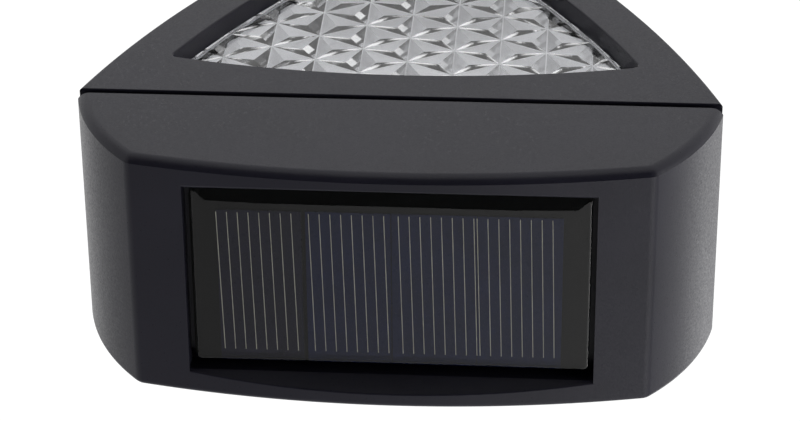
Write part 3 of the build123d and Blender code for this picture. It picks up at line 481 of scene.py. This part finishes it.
def new_piece(name, points, faces, body, material, replaced=(), sharp=32.0, weld=WELD):
    """A mesh from points in millimetres, welded, facing outwards, smooth but for its sharp edges."""
    mesh = bpy.data.meshes.new(name)
    mesh.from_pydata((np.asarray(points) * MM).tolist(), [], faces)
    mesh.validate()
    work = bmesh.new()
    work.from_mesh(mesh)
    bmesh.ops.remove_doubles(work, verts=work.verts, dist=weld * MM)
    bmesh.ops.dissolve_degenerate(work, edges=work.edges, dist=weld * MM)
    bmesh.ops.recalc_face_normals(work, faces=work.faces)
    for face in work.faces:
        face.smooth = True
    work.to_mesh(mesh)
    work.free()
    mesh.set_sharp_from_angle(angle=radians(sharp))
    piece = linked(name, mesh)
    flat = piece.modifiers.new("keep broad faces flat", "WEIGHTED_NORMAL")
    flat.keep_sharp = True
    mesh.materials.append(material)
    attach(piece, body)
    if replaced:
        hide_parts(*replaced)
    return piece


# ================================================ materials
def add_node(tree, kind, inputs=None, **settings):
    """Adds a node, sets its settings, and fills its inputs with values or with other nodes' outputs."""
    made = tree.nodes.new(kind)
    for name, value in settings.items():
        setattr(made, name, value)
    for name, value in (inputs or {}).items():
        if isinstance(value, bpy.types.NodeSocket):
            tree.links.new(value, made.inputs[name])
        else:
            made.inputs[name].default_value = value
    return made


def empty_tree(data):
    """The node tree of a material or a world, with nothing in it."""
    data.use_nodes = True
    data.node_tree.nodes.clear()
    return data.node_tree


def spans(source, result):
    """The four limits of a Map Range node, from the span that it reads and the span that it gives."""
    return {"From Min": source[0], "From Max": source[1], "To Min": result[0], "To Max": result[1]}


def rgba(colour, gain=1.0):
    """A colour with its alpha, lighter or darker by a gain."""
    return (*(min(c * gain, 1.0) for c in colour), 1.0)


NOISE_RANGE = (0.3, 0.7)  # between these a noise texture's values mostly lie


def finish(name, colour, roughness=(0.4, 0.5), spread=0.12, cloud=18.0, grain=0.3, relief=0.03, **shader):
    """A finish with three scales: a cloud in its colour, a drift in its gloss, and a relief of fine grains.

    The cloud and grain are sizes in millimetres, the relief is a height in millimetres, and the spread is how
    far the colour goes lighter and darker. The rest is set on the shader's own sockets, whose names are given
    with underscores for spaces.
    """
    material = bpy.data.materials.new(name)
    tree = empty_tree(material)
    place = add_node(tree, "ShaderNodeTexCoord").outputs["Object"]
    clouds = {"Vector": place, "Scale": 1 / (cloud * MM), "Detail": 4.0, "Roughness": 0.6}
    clouds = add_node(tree, "ShaderNodeTexNoise", clouds).outputs["Fac"]
    grains = {"Vector": place, "Scale": 1 / (grain * MM), "Detail": 3.0, "Roughness": 0.65}
    grains = add_node(tree, "ShaderNodeTexNoise", grains).outputs["Fac"]
    mixed = add_node(tree, "ShaderNodeValToRGB", {"Fac": clouds})
    for stop, position, gain in zip(mixed.color_ramp.elements, NOISE_RANGE, (1 - spread, 1 + spread)):
        stop.position, stop.color = position, rgba(colour, gain)
    gloss = add_node(tree, "ShaderNodeMapRange", {"Value": grains, **spans(NOISE_RANGE, roughness)})
    bump = add_node(tree, "ShaderNodeBump", {"Height": grains, "Strength": 1.0, "Distance": relief * MM})
    sockets = {
        "Base Color": mixed.outputs["Color"],
        "Roughness": gloss.outputs["Result"],
        "Normal": bump.outputs["Normal"],
    }
    sockets |= {socket.replace("_", " "): value for socket, value in shader.items()}
    made = add_node(tree, "ShaderNodeBsdfPrincipled", sockets)
    add_node(tree, "ShaderNodeOutputMaterial", {"Surface": made.outputs["BSDF"]})
    return material


def dress(material, *names):
    """Gives a finish to CAD nodes that keep their own shape."""
    for name in names:
        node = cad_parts[name]
        node.data.materials.clear()
        node.data.materials.append(material)


# ================================================ operators
class FENCELIGHT_OT_camera(Operator):
    """Places the camera where the photograph was taken from."""

    bl_idname = "fence_light.camera"
    bl_label = "Camera"

    def execute(self, context):
        right, up = Vector(CAMERA_RIGHT), Vector(CAMERA_UP)
        turned = cos(CAMERA_ROLL) * right + sin(CAMERA_ROLL) * up
        above = -sin(CAMERA_ROLL) * right + cos(CAMERA_ROLL) * up
        away = turned.cross(above)
        data = bpy.data.cameras.new("photo_camera")
        data.lens, data.sensor_width, data.clip_start, data.clip_end = CAMERA_LENS, 36.0, 0.01, 20.0
        camera = linked("photo_camera", data)
        facing = Matrix((turned, above, away)).transposed().to_4x4()
        camera.matrix_world = Matrix.Translation(Vector(CAMERA_PLACE) * MM) @ facing
        context.scene.camera = camera
        return {"FINISHED"}


class FENCELIGHT_OT_lens_housing(Operator):
    """Builds the lower moulding: a closed shell round the window, its profile carried along the outline."""

    bl_idname = "fence_light.lens_housing"
    bl_label = "Lens Housing"

    def execute(self, context):
        """The profile runs out of the window's collar, over the bezel, back along the wall and in again."""
        sizes = context.scene.fence_light_sizes
        steps = sizes.curve_steps
        edge, rim = sizes.bezel_edge, sizes.rim_edge
        count = len(shield_ring(0, 0))
        seam = np.arange(count) >= count - (SEAM_STEPS - 2)
        # between the side walls the wall under the seam ends on the back plate
        back = np.where(seam & (np.abs(shield_ring(0, 0)[:, 0]) < HALF_WIDTH - WALL), PLATE, 0.0)
        loop = [at_depth(window_ring(0), COLLAR_END)]
        loop += [at_depth(window_ring(inset), DEPTH - drop) for inset, drop in rounding(rim, steps)]
        bezel = rounding(edge, steps)[::-1]
        loop += [at_depth(shield_ring(inset, inset / 2), DEPTH - drop) for inset, drop in bezel]
        rear = rounding(sizes.back_edge, BACK_STEPS)
        loop += [at_depth(shield_ring(inset, 0), back + drop) for inset, drop in rear]
        loop += [
            at_depth(shield_ring(WALL, PARTITION), back),
            at_depth(shield_ring(WALL, PARTITION), DEPTH - WALL),
            at_depth(window_ring(COLLAR_WALL), DEPTH - WALL),
            at_depth(window_ring(COLLAR_WALL), COLLAR_END),
        ]
        points = np.stack(loop, 1)
        # no lower than the CAD's box
        points[..., 2] = np.maximum(points[..., 2], CAD_BOX[0][2] / MM)
        faces = grid_faces(points.shape[0], points.shape[1], True, True)
        new_piece(
            "lens_housing_shell",
            points.reshape(-1, 3),
            faces,
            "light",
            FINISHES["housing"],
            ["lens_housing"],
        )
        return {"FINISHED"}


class FENCELIGHT_OT_lens(Operator):
    """Builds the clear window: a smooth face outside, and rows of three-sided pyramids inside."""

    bl_idname = "fence_light.lens"
    bl_label = "Lens"

    def execute(self, context):
        """The plain lens, less what lies behind its inner pyramids within the window."""
        sizes = context.scene.fence_light_sizes
        edge = sizes.lens_edge
        loop = [
            at_depth(window_ring(-LENS_FIT - edge), LENS_FRONT),
            at_depth(window_ring(-LENS_FIT), LENS_FRONT - edge),
            at_depth(window_ring(-LENS_FIT), LENS_FLANGE_FRONT),
            at_depth(window_ring(LENS_FLANGE), LENS_FLANGE_FRONT),
            at_depth(window_ring(LENS_FLANGE), LENS_BACK),
        ]
        plain = self.block(loop)
        inside = window_ring(-LENS_FIT - STAR_BORDER)
        prism = self.block([at_depth(inside, LENS_FRONT), at_depth(inside, PRISM_FLOOR)])
        behind = self.combined(self.stars(sizes.star_height, sizes.star_ridge), prism, "INTERSECT")
        lens = self.combined(plain, behind, "DIFFERENCE")
        points = np.array([corner.co for corner in lens.data.vertices]) / MM
        faces = [list(face.vertices) for face in lens.data.polygons]
        bpy.data.objects.remove(lens)
        new_piece(
            "faceted_lens",
            points,
            faces,
            "light",
            FINISHES["lens"],
            ["lens"],
            sharp=12.0,
            weld=0.004,
        )
        return {"FINISHED"}

    def block(self, loop):
        """A closed solid from rings of points: its ends are flat."""
        points = np.stack(loop, 0)
        return self.solid(points.reshape(-1, 3), capped_faces(*points.shape[:2]))

    def stars(self, height, ridge):
        """A block whose front is the stars' relief: on each lattice triangle a flat ridge and three facets.

        The lattice's columns are COLUMN_STEP apart, each moved by half a STAR_SPACING against the next. Each
        triangle has its three corners, the same three moved inwards by the ridge, and a tip over its middle.
        """
        column, row = (a.ravel() for a in np.meshgrid(STAR_COLUMNS, STAR_ROWS, indexing="ij"))
        thickness = LENS_FRONT - STAR_BASE
        x = column * COLUMN_STEP
        z = STAR_Z - STAR_SLANT * thickness + (row + column % 2 / 2) * STAR_SPACING
        hand = np.array([1, -1])[:, None]
        corners_x = np.stack(np.broadcast_arrays(x + 0 * hand, x + 0 * hand, x + hand * COLUMN_STEP), -1)
        corners_z = np.stack(np.broadcast_arrays(z + 0 * hand, z + STAR_SPACING, z + STAR_SPACING / 2), -1)
        corners = np.stack([corners_x, corners_z], -1).reshape(-1, 3, 2)
        middle = corners.mean(1, keepdims=True)
        share = 1 - ridge * sqrt(3) / STAR_SPACING
        flat = np.concatenate([corners, middle + (corners - middle) * share, middle], 1)
        depth = np.broadcast_to(np.array([STAR_BASE] * 6 + [STAR_BASE - height]), flat.shape[:2])
        points = np.stack([flat[..., 0], -depth, flat[..., 1]], -1).reshape(-1, 3)
        pattern = [(0, 1, 4, 3), (1, 2, 5, 4), (2, 0, 3, 5), (3, 4, 6), (4, 5, 6), (5, 3, 6)]
        count = len(corners)
        faces = [tuple(corner + 7 * number for corner in face) for number in range(count) for face in pattern]
        return self.solid(points, faces, STAR_FLOOR)

    def solid(self, points, faces, floor=None):
        """An object from points in millimetres, welded; an open sheet gets walls down to a floor's depth."""
        mesh = bpy.data.meshes.new("block")
        mesh.from_pydata((points * MM).tolist(), [], faces)
        work = bmesh.new()
        work.from_mesh(mesh)
        bmesh.ops.remove_doubles(work, verts=work.verts, dist=WELD * MM)
        if floor is not None:
            rim = [edge for edge in work.edges if edge.is_boundary]
            walls = bmesh.ops.extrude_edge_only(work, edges=rim)["geom"]
            low = [item for item in walls if isinstance(item, bmesh.types.BMVert)]
            bmesh.ops.translate(work, verts=low, vec=(0, (STAR_BASE - floor) * MM, 0))
            bmesh.ops.edgeloop_fill(work, edges=[edge for edge in work.edges if edge.is_boundary])
        bmesh.ops.recalc_face_normals(work, faces=work.faces)
        work.to_mesh(mesh)
        work.free()
        return linked("block", mesh)

    def combined(self, first, second, operation):
        """The result of a boolean of two blocks, as a new object. Both of them are taken away."""
        step = first.modifiers.new("cut", "BOOLEAN")
        step.operation, step.object, step.solver = operation, second, "EXACT"
        seen = first.evaluated_get(bpy.context.evaluated_depsgraph_get())
        mesh = bpy.data.meshes.new_from_object(seen)
        for used in (first, second):
            bpy.data.objects.remove(used)
        return linked("block", mesh)


class FENCELIGHT_OT_solar_head(Operator):
    """Builds the upper moulding: curved solar wall, panel pocket and front face."""

    bl_idname = "fence_light.solar_head"
    bl_label = "Solar Head"

    def execute(self, context):
        """A closed section is carried from one end of the seam to the other, and dips where the pocket is."""
        sizes = context.scene.fence_light_sizes
        steps, crease, rim = sizes.curve_steps, sizes.crease, sizes.rim_edge
        outer = head_ring(0)
        ends = np.flatnonzero(np.isclose(np.abs(outer[:, 0]), POCKET_HALF_WIDTH))
        pocket = np.zeros(len(outer), bool)
        pocket[ends[1] : ends[-2] + 1] = True
        high = outer[:, 1]
        flare = np.maximum((high - PANEL_TOP_Z) * tan(POCKET_FLARE), POCKET_FLARE_LEAST)
        dip = np.where(pocket, PANEL_TOP_Z, high)
        floor = np.where(pocket, POCKET_FLOOR_Z, high)
        lip = np.where(pocket, rim, 0.0)
        x = outer[:, 0]
        inner = head_ring(WALL)
        inner[:, 1] = np.minimum(inner[:, 1], HEAD_ROOF_Z)
        crest = head_ring(rounding(crease, 2, CREASE_START)[1][0])

        def section(x, depth, z):
            """One row of the section, from end to end of the outline."""
            return np.stack(np.broadcast_arrays(x, -np.asarray(depth, float), z), -1)

        loop = [section(crest[:, 0], DEPTH, HEAD_LOW_Z)]
        fold = rounding(crease, steps + 2, CREASE_START)[::-1]
        loop += [at_depth(head_ring(inset), DEPTH - drop) for inset, drop in fold]
        loop += [
            section(x, POCKET_FRONT + flare + rim, high),
            section(x, POCKET_FRONT + flare + rim * ROUND_MIDDLE, high - lip * ROUND_MIDDLE),
            section(x, POCKET_FRONT + flare, high - lip),
            section(x, POCKET_FRONT, dip),
            section(x, POCKET_FRONT, floor),
            section(x, POCKET_BACK, floor),
            section(x, POCKET_BACK, dip),
            section(x, POCKET_BACK - flare, high - lip),
            section(x, POCKET_BACK - flare - rim * ROUND_MIDDLE, high - lip * ROUND_MIDDLE),
            section(x, POCKET_BACK - flare - rim, high),
        ]
        loop += [at_depth(head_ring(inset), drop) for inset, drop in rounding(sizes.back_edge, BACK_STEPS)]
        loop += [
            at_depth(inner, 0.0),
            at_depth(inner, DEPTH - WALL),
            section(inner[:, 0], DEPTH - WALL, HEAD_LOW_Z),
        ]
        points = np.stack(loop, 1)
        new_piece(
            "solar_head_shell",
            points.reshape(-1, 3),
            capped_faces(*points.shape[:2]),
            "light",
            FINISHES["housing"],
            ["solar_head_housing"],
            sharp=20.0,
        )
        return {"FINISHED"}


class FENCELIGHT_OT_solar_panel(Operator):
    """Builds the epoxy cover and the cells' silver fingers."""

    bl_idname = "fence_light.solar_panel"
    bl_label = "Solar Panel"

    def ring(self, inset, corner_steps=9, side_steps=14):
        """A rounded rectangle moved inwards: four corner arcs, joined by straight stretches."""
        radius = max(PANEL_CORNER - inset, PANEL_CORNER_LEAST)
        half = np.array(COVER_SIZE) / 2 - inset - radius
        stretches = []
        for turn in range(4):
            sign = np.array([(1, 1), (-1, 1), (-1, -1), (1, -1)][turn])
            ahead = np.array([(-1, 1), (-1, -1), (1, -1), (1, 1)][turn])
            corner = arc(half * sign, radius, turn * pi / 2, (turn + 1) * pi / 2, corner_steps)
            start, end = corner[-1], half * ahead
            end = end + radius * np.array([(0, 1), (-1, 0), (0, -1), (1, 0)][turn])
            share = np.linspace(0, 1, side_steps)[1:-1, None]
            stretches += [corner, start + (end - start) * share]
        return np.concatenate(stretches)

    def execute(self, context):
        """The cover falls from its flat top by drop * growth * (1 - inset / (reach * growth))^DOME_FALL.

        The growth is almost nothing on the short edges and rises along the long ones, away from the corners,
        as 1 - (1 - distance / corner)^DOME_RISE. The edge towards the fence has only a small share of it.
        """
        sizes = context.scene.fence_light_sizes
        reach, drop = sizes.dome_reach, sizes.dome_drop
        bottom = BOARD_TOP_Z - COVER_SINK
        levels = [(COVER_FOOT, bottom), (0.0, bottom)]
        levels += [(inset, PANEL_TOP_Z - fall) for inset, fall in rounding(COVER_RIM, COVER_RIM_STEPS)]
        levels += [(inset, PANEL_TOP_Z) for inset in np.linspace(COVER_RIM, reach, COVER_STEPS)[1:]]
        loop = []
        for inset, height in levels:
            outline = self.ring(inset)
            near = np.clip((COVER_SIZE[0] / 2 - np.abs(outline[:, 0])) / sizes.dome_corner, 0, 1)
            side = np.where(outline[:, 1] > 0, BACK_DOME, 1)
            growth = np.maximum((1 - (1 - near) ** DOME_RISE) * side, DOME_LEAST)
            fall = drop * growth * np.clip(1 - max(inset, COVER_RIM) / (reach * growth), 0, 1) ** DOME_FALL
            fall = np.where(height > bottom, fall, 0.0)
            x, y = outline[:, 0] + COVER_SHIFT, outline[:, 1] - COVER_DEPTH
            loop.append(np.stack([x, y, height - fall], -1))
        points = np.stack(loop, 0)
        new_piece(
            "epoxy_cover",
            points.reshape(-1, 3),
            capped_faces(*points.shape[:2]),
            "light",
            FINISHES["epoxy"],
            ["panel_resin"],
        )
        self.fingers(sizes.finger_width)
        return {"FINISHED"}

    def fingers(self, width):
        """Thin bars at even pitch on each cell: eight corners each, from a place, a width and a thickness.

        The cells were laid by hand, so each bar's far end stands a little aside of its near end.
        """
        low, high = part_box("solar_cell_1")
        near, far = low.y / MM + FINGER_NEAR, high.y / MM - FINGER_FAR
        first = np.array(FIRST_FINGERS)[:, None] - FINGER_PITCH * np.arange(FINGERS_PER_CELL)[None, :]
        x = first.ravel()
        box = np.array([(i, j, k) for i in (-0.5, 0.5) for j in (0, 1) for k in (0, 1)], float)
        points = np.stack(
            [
                x[:, None] + box[None, :, 0] * width + FINGER_SLANT * (0.5 - box[None, :, 1]),
                np.broadcast_to(near + (far - near) * box[:, 1], (len(x), 8)),
                np.broadcast_to(CELL_TOP_Z + FINGER_THICKNESS * box[:, 2], (len(x), 8)),
            ],
            -1,
        )
        sides = np.array([(0, 1, 3, 2), (4, 6, 7, 5), (0, 4, 5, 1), (2, 3, 7, 6), (0, 2, 6, 4), (1, 5, 7, 3)])
        faces = (sides[None] + 8 * np.arange(len(x))[:, None, None]).reshape(-1, 4).tolist()
        points = points.reshape(-1, 3)
        new_piece("cell_fingers", points, faces, "light", FINISHES["fingers"])


class FENCELIGHT_OT_finishes(Operator):
    """Makes the finishes and gives them to the CAD nodes that keep their own shape."""

    bl_idname = "fence_light.finishes"
    bl_label = "Finishes"

    def execute(self, context):
        colours = context.scene.fence_light_colours
        make = {
            # ABS from a spark-eroded tool: an even, slightly sparkling satin
            "housing": finish(
                "moulded_black_abs",
                colours.housing,
                (0.26, 0.48),
                grain=0.35,
                relief=0.012,
                Specular_IOR_Level=0.235,
            ),
            # ABS from a plainer tool: a smoother satin
            "back": finish("satin_black_abs", colours.back, (0.38, 0.5), grain=0.5, relief=0.01),
            # EPDM rubber: matt, a little dusty
            "rubber": finish(
                "black_epdm_rubber", srgb("#070708"), (0.8, 0.95), grain=0.4, Specular_IOR_Level=0.2
            ),
            # acrylic from a polished tool: clear, with a hard gloss
            "lens": finish(
                "clear_acrylic",
                colours.lens,
                (0.04, 0.08),
                spread=0.0,
                relief=0.0,
                Transmission_Weight=1.0,
                IOR=1.49,
            ),
            # ABS metallised over a matt mould: a cloudy silver that scatters most of its light
            "reflector": finish(
                "metallised_abs", srgb("#fcfcfe"), (0.25, 0.35), spread=0.0, relief=0.002, Metallic=0.1
            ),
            # epoxy, poured: clear, with a drawn-up edge
            "epoxy": finish(
                "poured_epoxy",
                srgb("#e9ecef"),
                (0.02, 0.05),
                spread=0.0,
                relief=0.0,
                Transmission_Weight=1.0,
                IOR=1.4,
            ),
            # silicon under an anti-reflection coat: dark blue, or violet where the coat is thinner
            "violet_silicon": self.silicon("thinly_coated_silicon", colours.violet_silicon),
            "silicon": self.silicon("coated_silicon", colours.silicon),
            # silver paste, printed and fired: pale and dull
            "fingers": finish("printed_silver_paste", colours.fingers, (0.3, 0.4), spread=0.04),
            # solder mask: black, between matt and satin
            "board": finish(
                "black_solder_mask",
                srgb("#0d0d0c"),
                (0.5, 0.6),
                grain=0.5,
                relief=0.01,
                Specular_IOR_Level=0.1,
            ),
            # steel with bright zinc: cool, finely streaked by its grains
            "steel": finish(
                "zinc_plated_steel", srgb("#b9bcc0"), (0.22, 0.36), grain=0.35, relief=0.006, Metallic=1.0
            ),
            # nickel plate: warmer and glossier than zinc
            "nickel": finish("nickel_plated_steel", srgb("#c9c6be"), (0.18, 0.3), relief=0.004, Metallic=1.0),
            # moulded epoxy of small parts: dark grey and matt
            "chip": finish("moulded_epoxy_case", srgb("#1c1c1e"), (0.5, 0.62)),
            # sintered ferrite: a grey like slate
            "ferrite": finish("sintered_ferrite", srgb("#3a3a3c"), (0.5, 0.7), grain=0.2),
            # shrunk PVC round the battery: smooth and even
            "battery": finish("printed_pvc_sleeve", srgb("#3f7a4c"), (0.25, 0.35), spread=0.05),
            # extruded PVC of the leads: smooth and soft
            "red": finish("red_pvc_lead", srgb("#a5221f"), (0.35, 0.45), spread=0.05),
            "black_lead": finish("black_pvc_lead", srgb("#1a1a1a"), (0.35, 0.45), spread=0.05),
            # cast epoxy of the lamps: clear, a little milky
            "led": finish("led_epoxy", srgb("#f1f3f6"), (0.05, 0.1), spread=0.0, Transmission_Weight=0.9),
            # acetal of the knob: black and waxy
            "knob": finish("black_acetal", srgb("#1e1e20"), (0.3, 0.42), grain=0.4, relief=0.008),
        }
        FINISHES.update(make)
        dress(make["back"], "back_plate", "battery_door")
        dress(make["rubber"], "seam_gasket", "lens_seal", "battery_door_seal", "panel_pad")
        dress(make["reflector"], "reflector")
        dress(make["violet_silicon"], "solar_cell_1")
        dress(make["silicon"], "solar_cell_2", "solar_cell_3", "solar_cell_4")
        dress(make["board"], "panel_board", "control_board")
        dress(make["steel"], "back_plate_screws", "battery_door_screws", "board_screws")
        dress(make["nickel"], "contact_plate", "spring_plate", "contact_spring", "switch_body")
        dress(make["chip"], "driver_chip", "capacitor")
        dress(make["ferrite"], "inductor")
        dress(make["battery"], "battery_cell")
        dress(make["red"], "battery_lead_plus", "panel_lead_plus", "switch_lead_1")
        dress(make["black_lead"], "battery_lead_minus", "panel_lead_minus", "switch_lead_2")
        dress(make["led"], "leds")
        dress(make["knob"], "switch_knob")
        return {"FINISHED"}

    def silicon(self, name, colour):
        """A cell's finish: its crystals' clouds are 9 mm wide."""
        return finish(
            name, colour, (0.25, 0.35), cloud=9.0, grain=0.6, relief=0.004, Specular_IOR_Level=0.1
        )


class FENCELIGHT_OT_stage(Operator):
    """Sets a pale floor, a dark card, a pale world and soft lamps round the light."""

    bl_idname = "fence_light.stage"
    bl_label = "Stage"

    def execute(self, context):
        self.floor()
        self.card()
        self.world(context)
        for lamp in LAMPS:
            self.lamp(*lamp)
        context.scene.view_settings.view_transform = "Standard"
        return {"FINISHED"}

    def sheet(self, name, corners, place, material):
        """A flat four-sided stage piece from its corners in metres, set in its place."""
        mesh = bpy.data.meshes.new(name)
        mesh.from_pydata([(*corner, 0) for corner in corners], [], [(0, 1, 2, 3)])
        mesh.transform(place)
        mesh.materials.append(material)
        made = linked(name, mesh)
        return made

    def floor(self):
        """Pale paint that keeps the object's shadow, under a glow for rays that see it."""
        material = bpy.data.materials.new("pale_floor")
        tree = empty_tree(material)
        seen = self.white_to_sight(tree)
        paint = add_node(tree, "ShaderNodeBsdfDiffuse", {"Color": rgba(srgb("#f4f4f4"))})
        glow = add_node(tree, "ShaderNodeEmission", {"Color": (1, 1, 1, 1), "Strength": FLOOR_GLOW})
        mixed = {0: seen, 1: paint.outputs["BSDF"], 2: glow.outputs["Emission"]}
        mixed = add_node(tree, "ShaderNodeMixShader", mixed)
        add_node(tree, "ShaderNodeOutputMaterial", {"Surface": mixed.outputs["Shader"]})
        left, right, far = FLOOR_LEFT, FLOOR_RIGHT, FLOOR_FAR
        corners = [(right, -far), (left, -far), (left, far), (right, far)]
        self.sheet("floor", corners, Matrix.Translation((0, 0, FLOOR_Z)), material)

    def white_to_sight(self, tree):
        """FLOOR_SHARE for rays that see the floor directly, in a mirror or through clear plastic, else 0."""
        path = add_node(tree, "ShaderNodeLightPath").outputs
        most = {0: path["Is Camera Ray"], 1: path["Is Transmission Ray"]}
        most = add_node(tree, "ShaderNodeMath", most, operation="MAXIMUM")
        most = {0: most.outputs[0], 1: path["Is Glossy Ray"]}
        most = add_node(tree, "ShaderNodeMath", most, operation="MAXIMUM")
        share = {0: most.outputs[0], 1: FLOOR_SHARE}
        return add_node(tree, "ShaderNodeMath", share, operation="MULTIPLY").outputs[0]

    def card(self):
        """The dark side of the room, behind the camera: a black card that only reflections and light meet."""
        material = bpy.data.materials.new("black_card")
        tree = empty_tree(material)
        paint = add_node(tree, "ShaderNodeBsdfDiffuse", {"Color": (CARD_PAINT, CARD_PAINT, CARD_PAINT, 1)})
        add_node(tree, "ShaderNodeOutputMaterial", {"Surface": paint.outputs["BSDF"]})
        half, low, high = CARD_HALF_WIDTH, -CARD_LOW, CARD_HIGH
        corners = [(-half, low), (half, low), (half, high), (-half, high)]
        turned = Vector(CAMERA_PLACE).to_track_quat("Z", "Y").to_matrix().to_4x4()
        place = Matrix.Translation(Vector(CAMERA_PLACE).normalized() * CARD_DISTANCE) @ turned
        self.sheet("card", corners, place, material).visible_camera = False

    def world(self, context):
        """A pale world, white to the camera.

        Its light falls off from one side to the other by the first span of levels, and is plain near the
        horizon.
        """
        world = bpy.data.worlds.new("pale_room")
        context.scene.world = world
        tree = empty_tree(world)
        way = add_node(tree, "ShaderNodeTexCoord").outputs["Generated"]
        way = add_node(tree, "ShaderNodeSeparateXYZ", {"Vector": way}).outputs
        level = {"Value": way["X"], **spans(WORLD_SIDES, WORLD_LEVELS)}
        level = add_node(tree, "ShaderNodeMapRange", level).outputs["Result"]
        height = {"Value": way["Z"], **spans(HORIZON, (0.0, 1.0))}
        height = add_node(tree, "ShaderNodeMapRange", height).outputs["Result"]
        light = {"Factor": height, "A": HORIZON_LEVEL, "B": level}
        light = add_node(tree, "ShaderNodeMix", light).outputs["Result"]
        seen = add_node(tree, "ShaderNodeLightPath").outputs["Is Camera Ray"]
        seen = {"Factor": seen, "A": light, "B": 1.0}
        seen = add_node(tree, "ShaderNodeMix", seen).outputs["Result"]
        glow = add_node(tree, "ShaderNodeBackground", {"Color": (1, 1, 1, 1), "Strength": seen})
        add_node(tree, "ShaderNodeOutputWorld", {"Surface": glow.outputs["Background"]})

    def lamp(self, name, place, target, size, power):
        """A square soft box that faces its target."""
        data = bpy.data.lights.new(name, "AREA")
        data.size, data.energy = size * MM, power
        lamp = linked(name, data)
        away = (Vector(place) - Vector(target)).to_track_quat("Z", "Y").to_matrix().to_4x4()
        lamp.matrix_world = Matrix.Translation(Vector(place) * MM) @ away
        lamp.visible_camera = False


FINISHES = {}
OPERATORS = (
    FENCELIGHT_OT_camera,
    FENCELIGHT_OT_finishes,
    FENCELIGHT_OT_lens_housing,
    FENCELIGHT_OT_lens,
    FENCELIGHT_OT_solar_head,
    FENCELIGHT_OT_solar_panel,
    FENCELIGHT_OT_stage,
)


class FENCELIGHT_PT_panel(Panel):
    """Lists the light's operators and settings."""

    bl_label = "Fence Light"
    bl_idname = "FENCELIGHT_PT_panel"
    bl_space_type = "VIEW_3D"
    bl_region_type = "UI"
    bl_category = "Fence Light"

    def draw(self, context):
        for operator in OPERATORS:
            self.layout.operator(operator.bl_idname)
        for group in (context.scene.fence_light_sizes, context.scene.fence_light_colours):
            for name in group.bl_rna.properties.keys():
                if name not in ("rna_type", "name"):
                    self.layout.prop(group, name)


CLASSES = (FenceLightSizes, FenceLightColours, *OPERATORS, FENCELIGHT_PT_panel)


def register():
    for made in CLASSES:
        bpy.utils.register_class(made)
    bpy.types.Scene.fence_light_sizes = PointerProperty(type=FenceLightSizes)
    bpy.types.Scene.fence_light_colours = PointerProperty(type=FenceLightColours)


def unregister():
    del bpy.types.Scene.fence_light_colours
    del bpy.types.Scene.fence_light_sizes
    for made in reversed(CLASSES):
        bpy.utils.unregister_class(made)


def main():
    register()
    bpy.ops.fence_light.camera()
    bpy.ops.fence_light.finishes()
    bpy.ops.fence_light.lens_housing()
    bpy.ops.fence_light.lens()
    bpy.ops.fence_light.solar_head()
    bpy.ops.fence_light.solar_panel()
    bpy.ops.fence_light.stage()


if __name__ == "__main__":
    main()
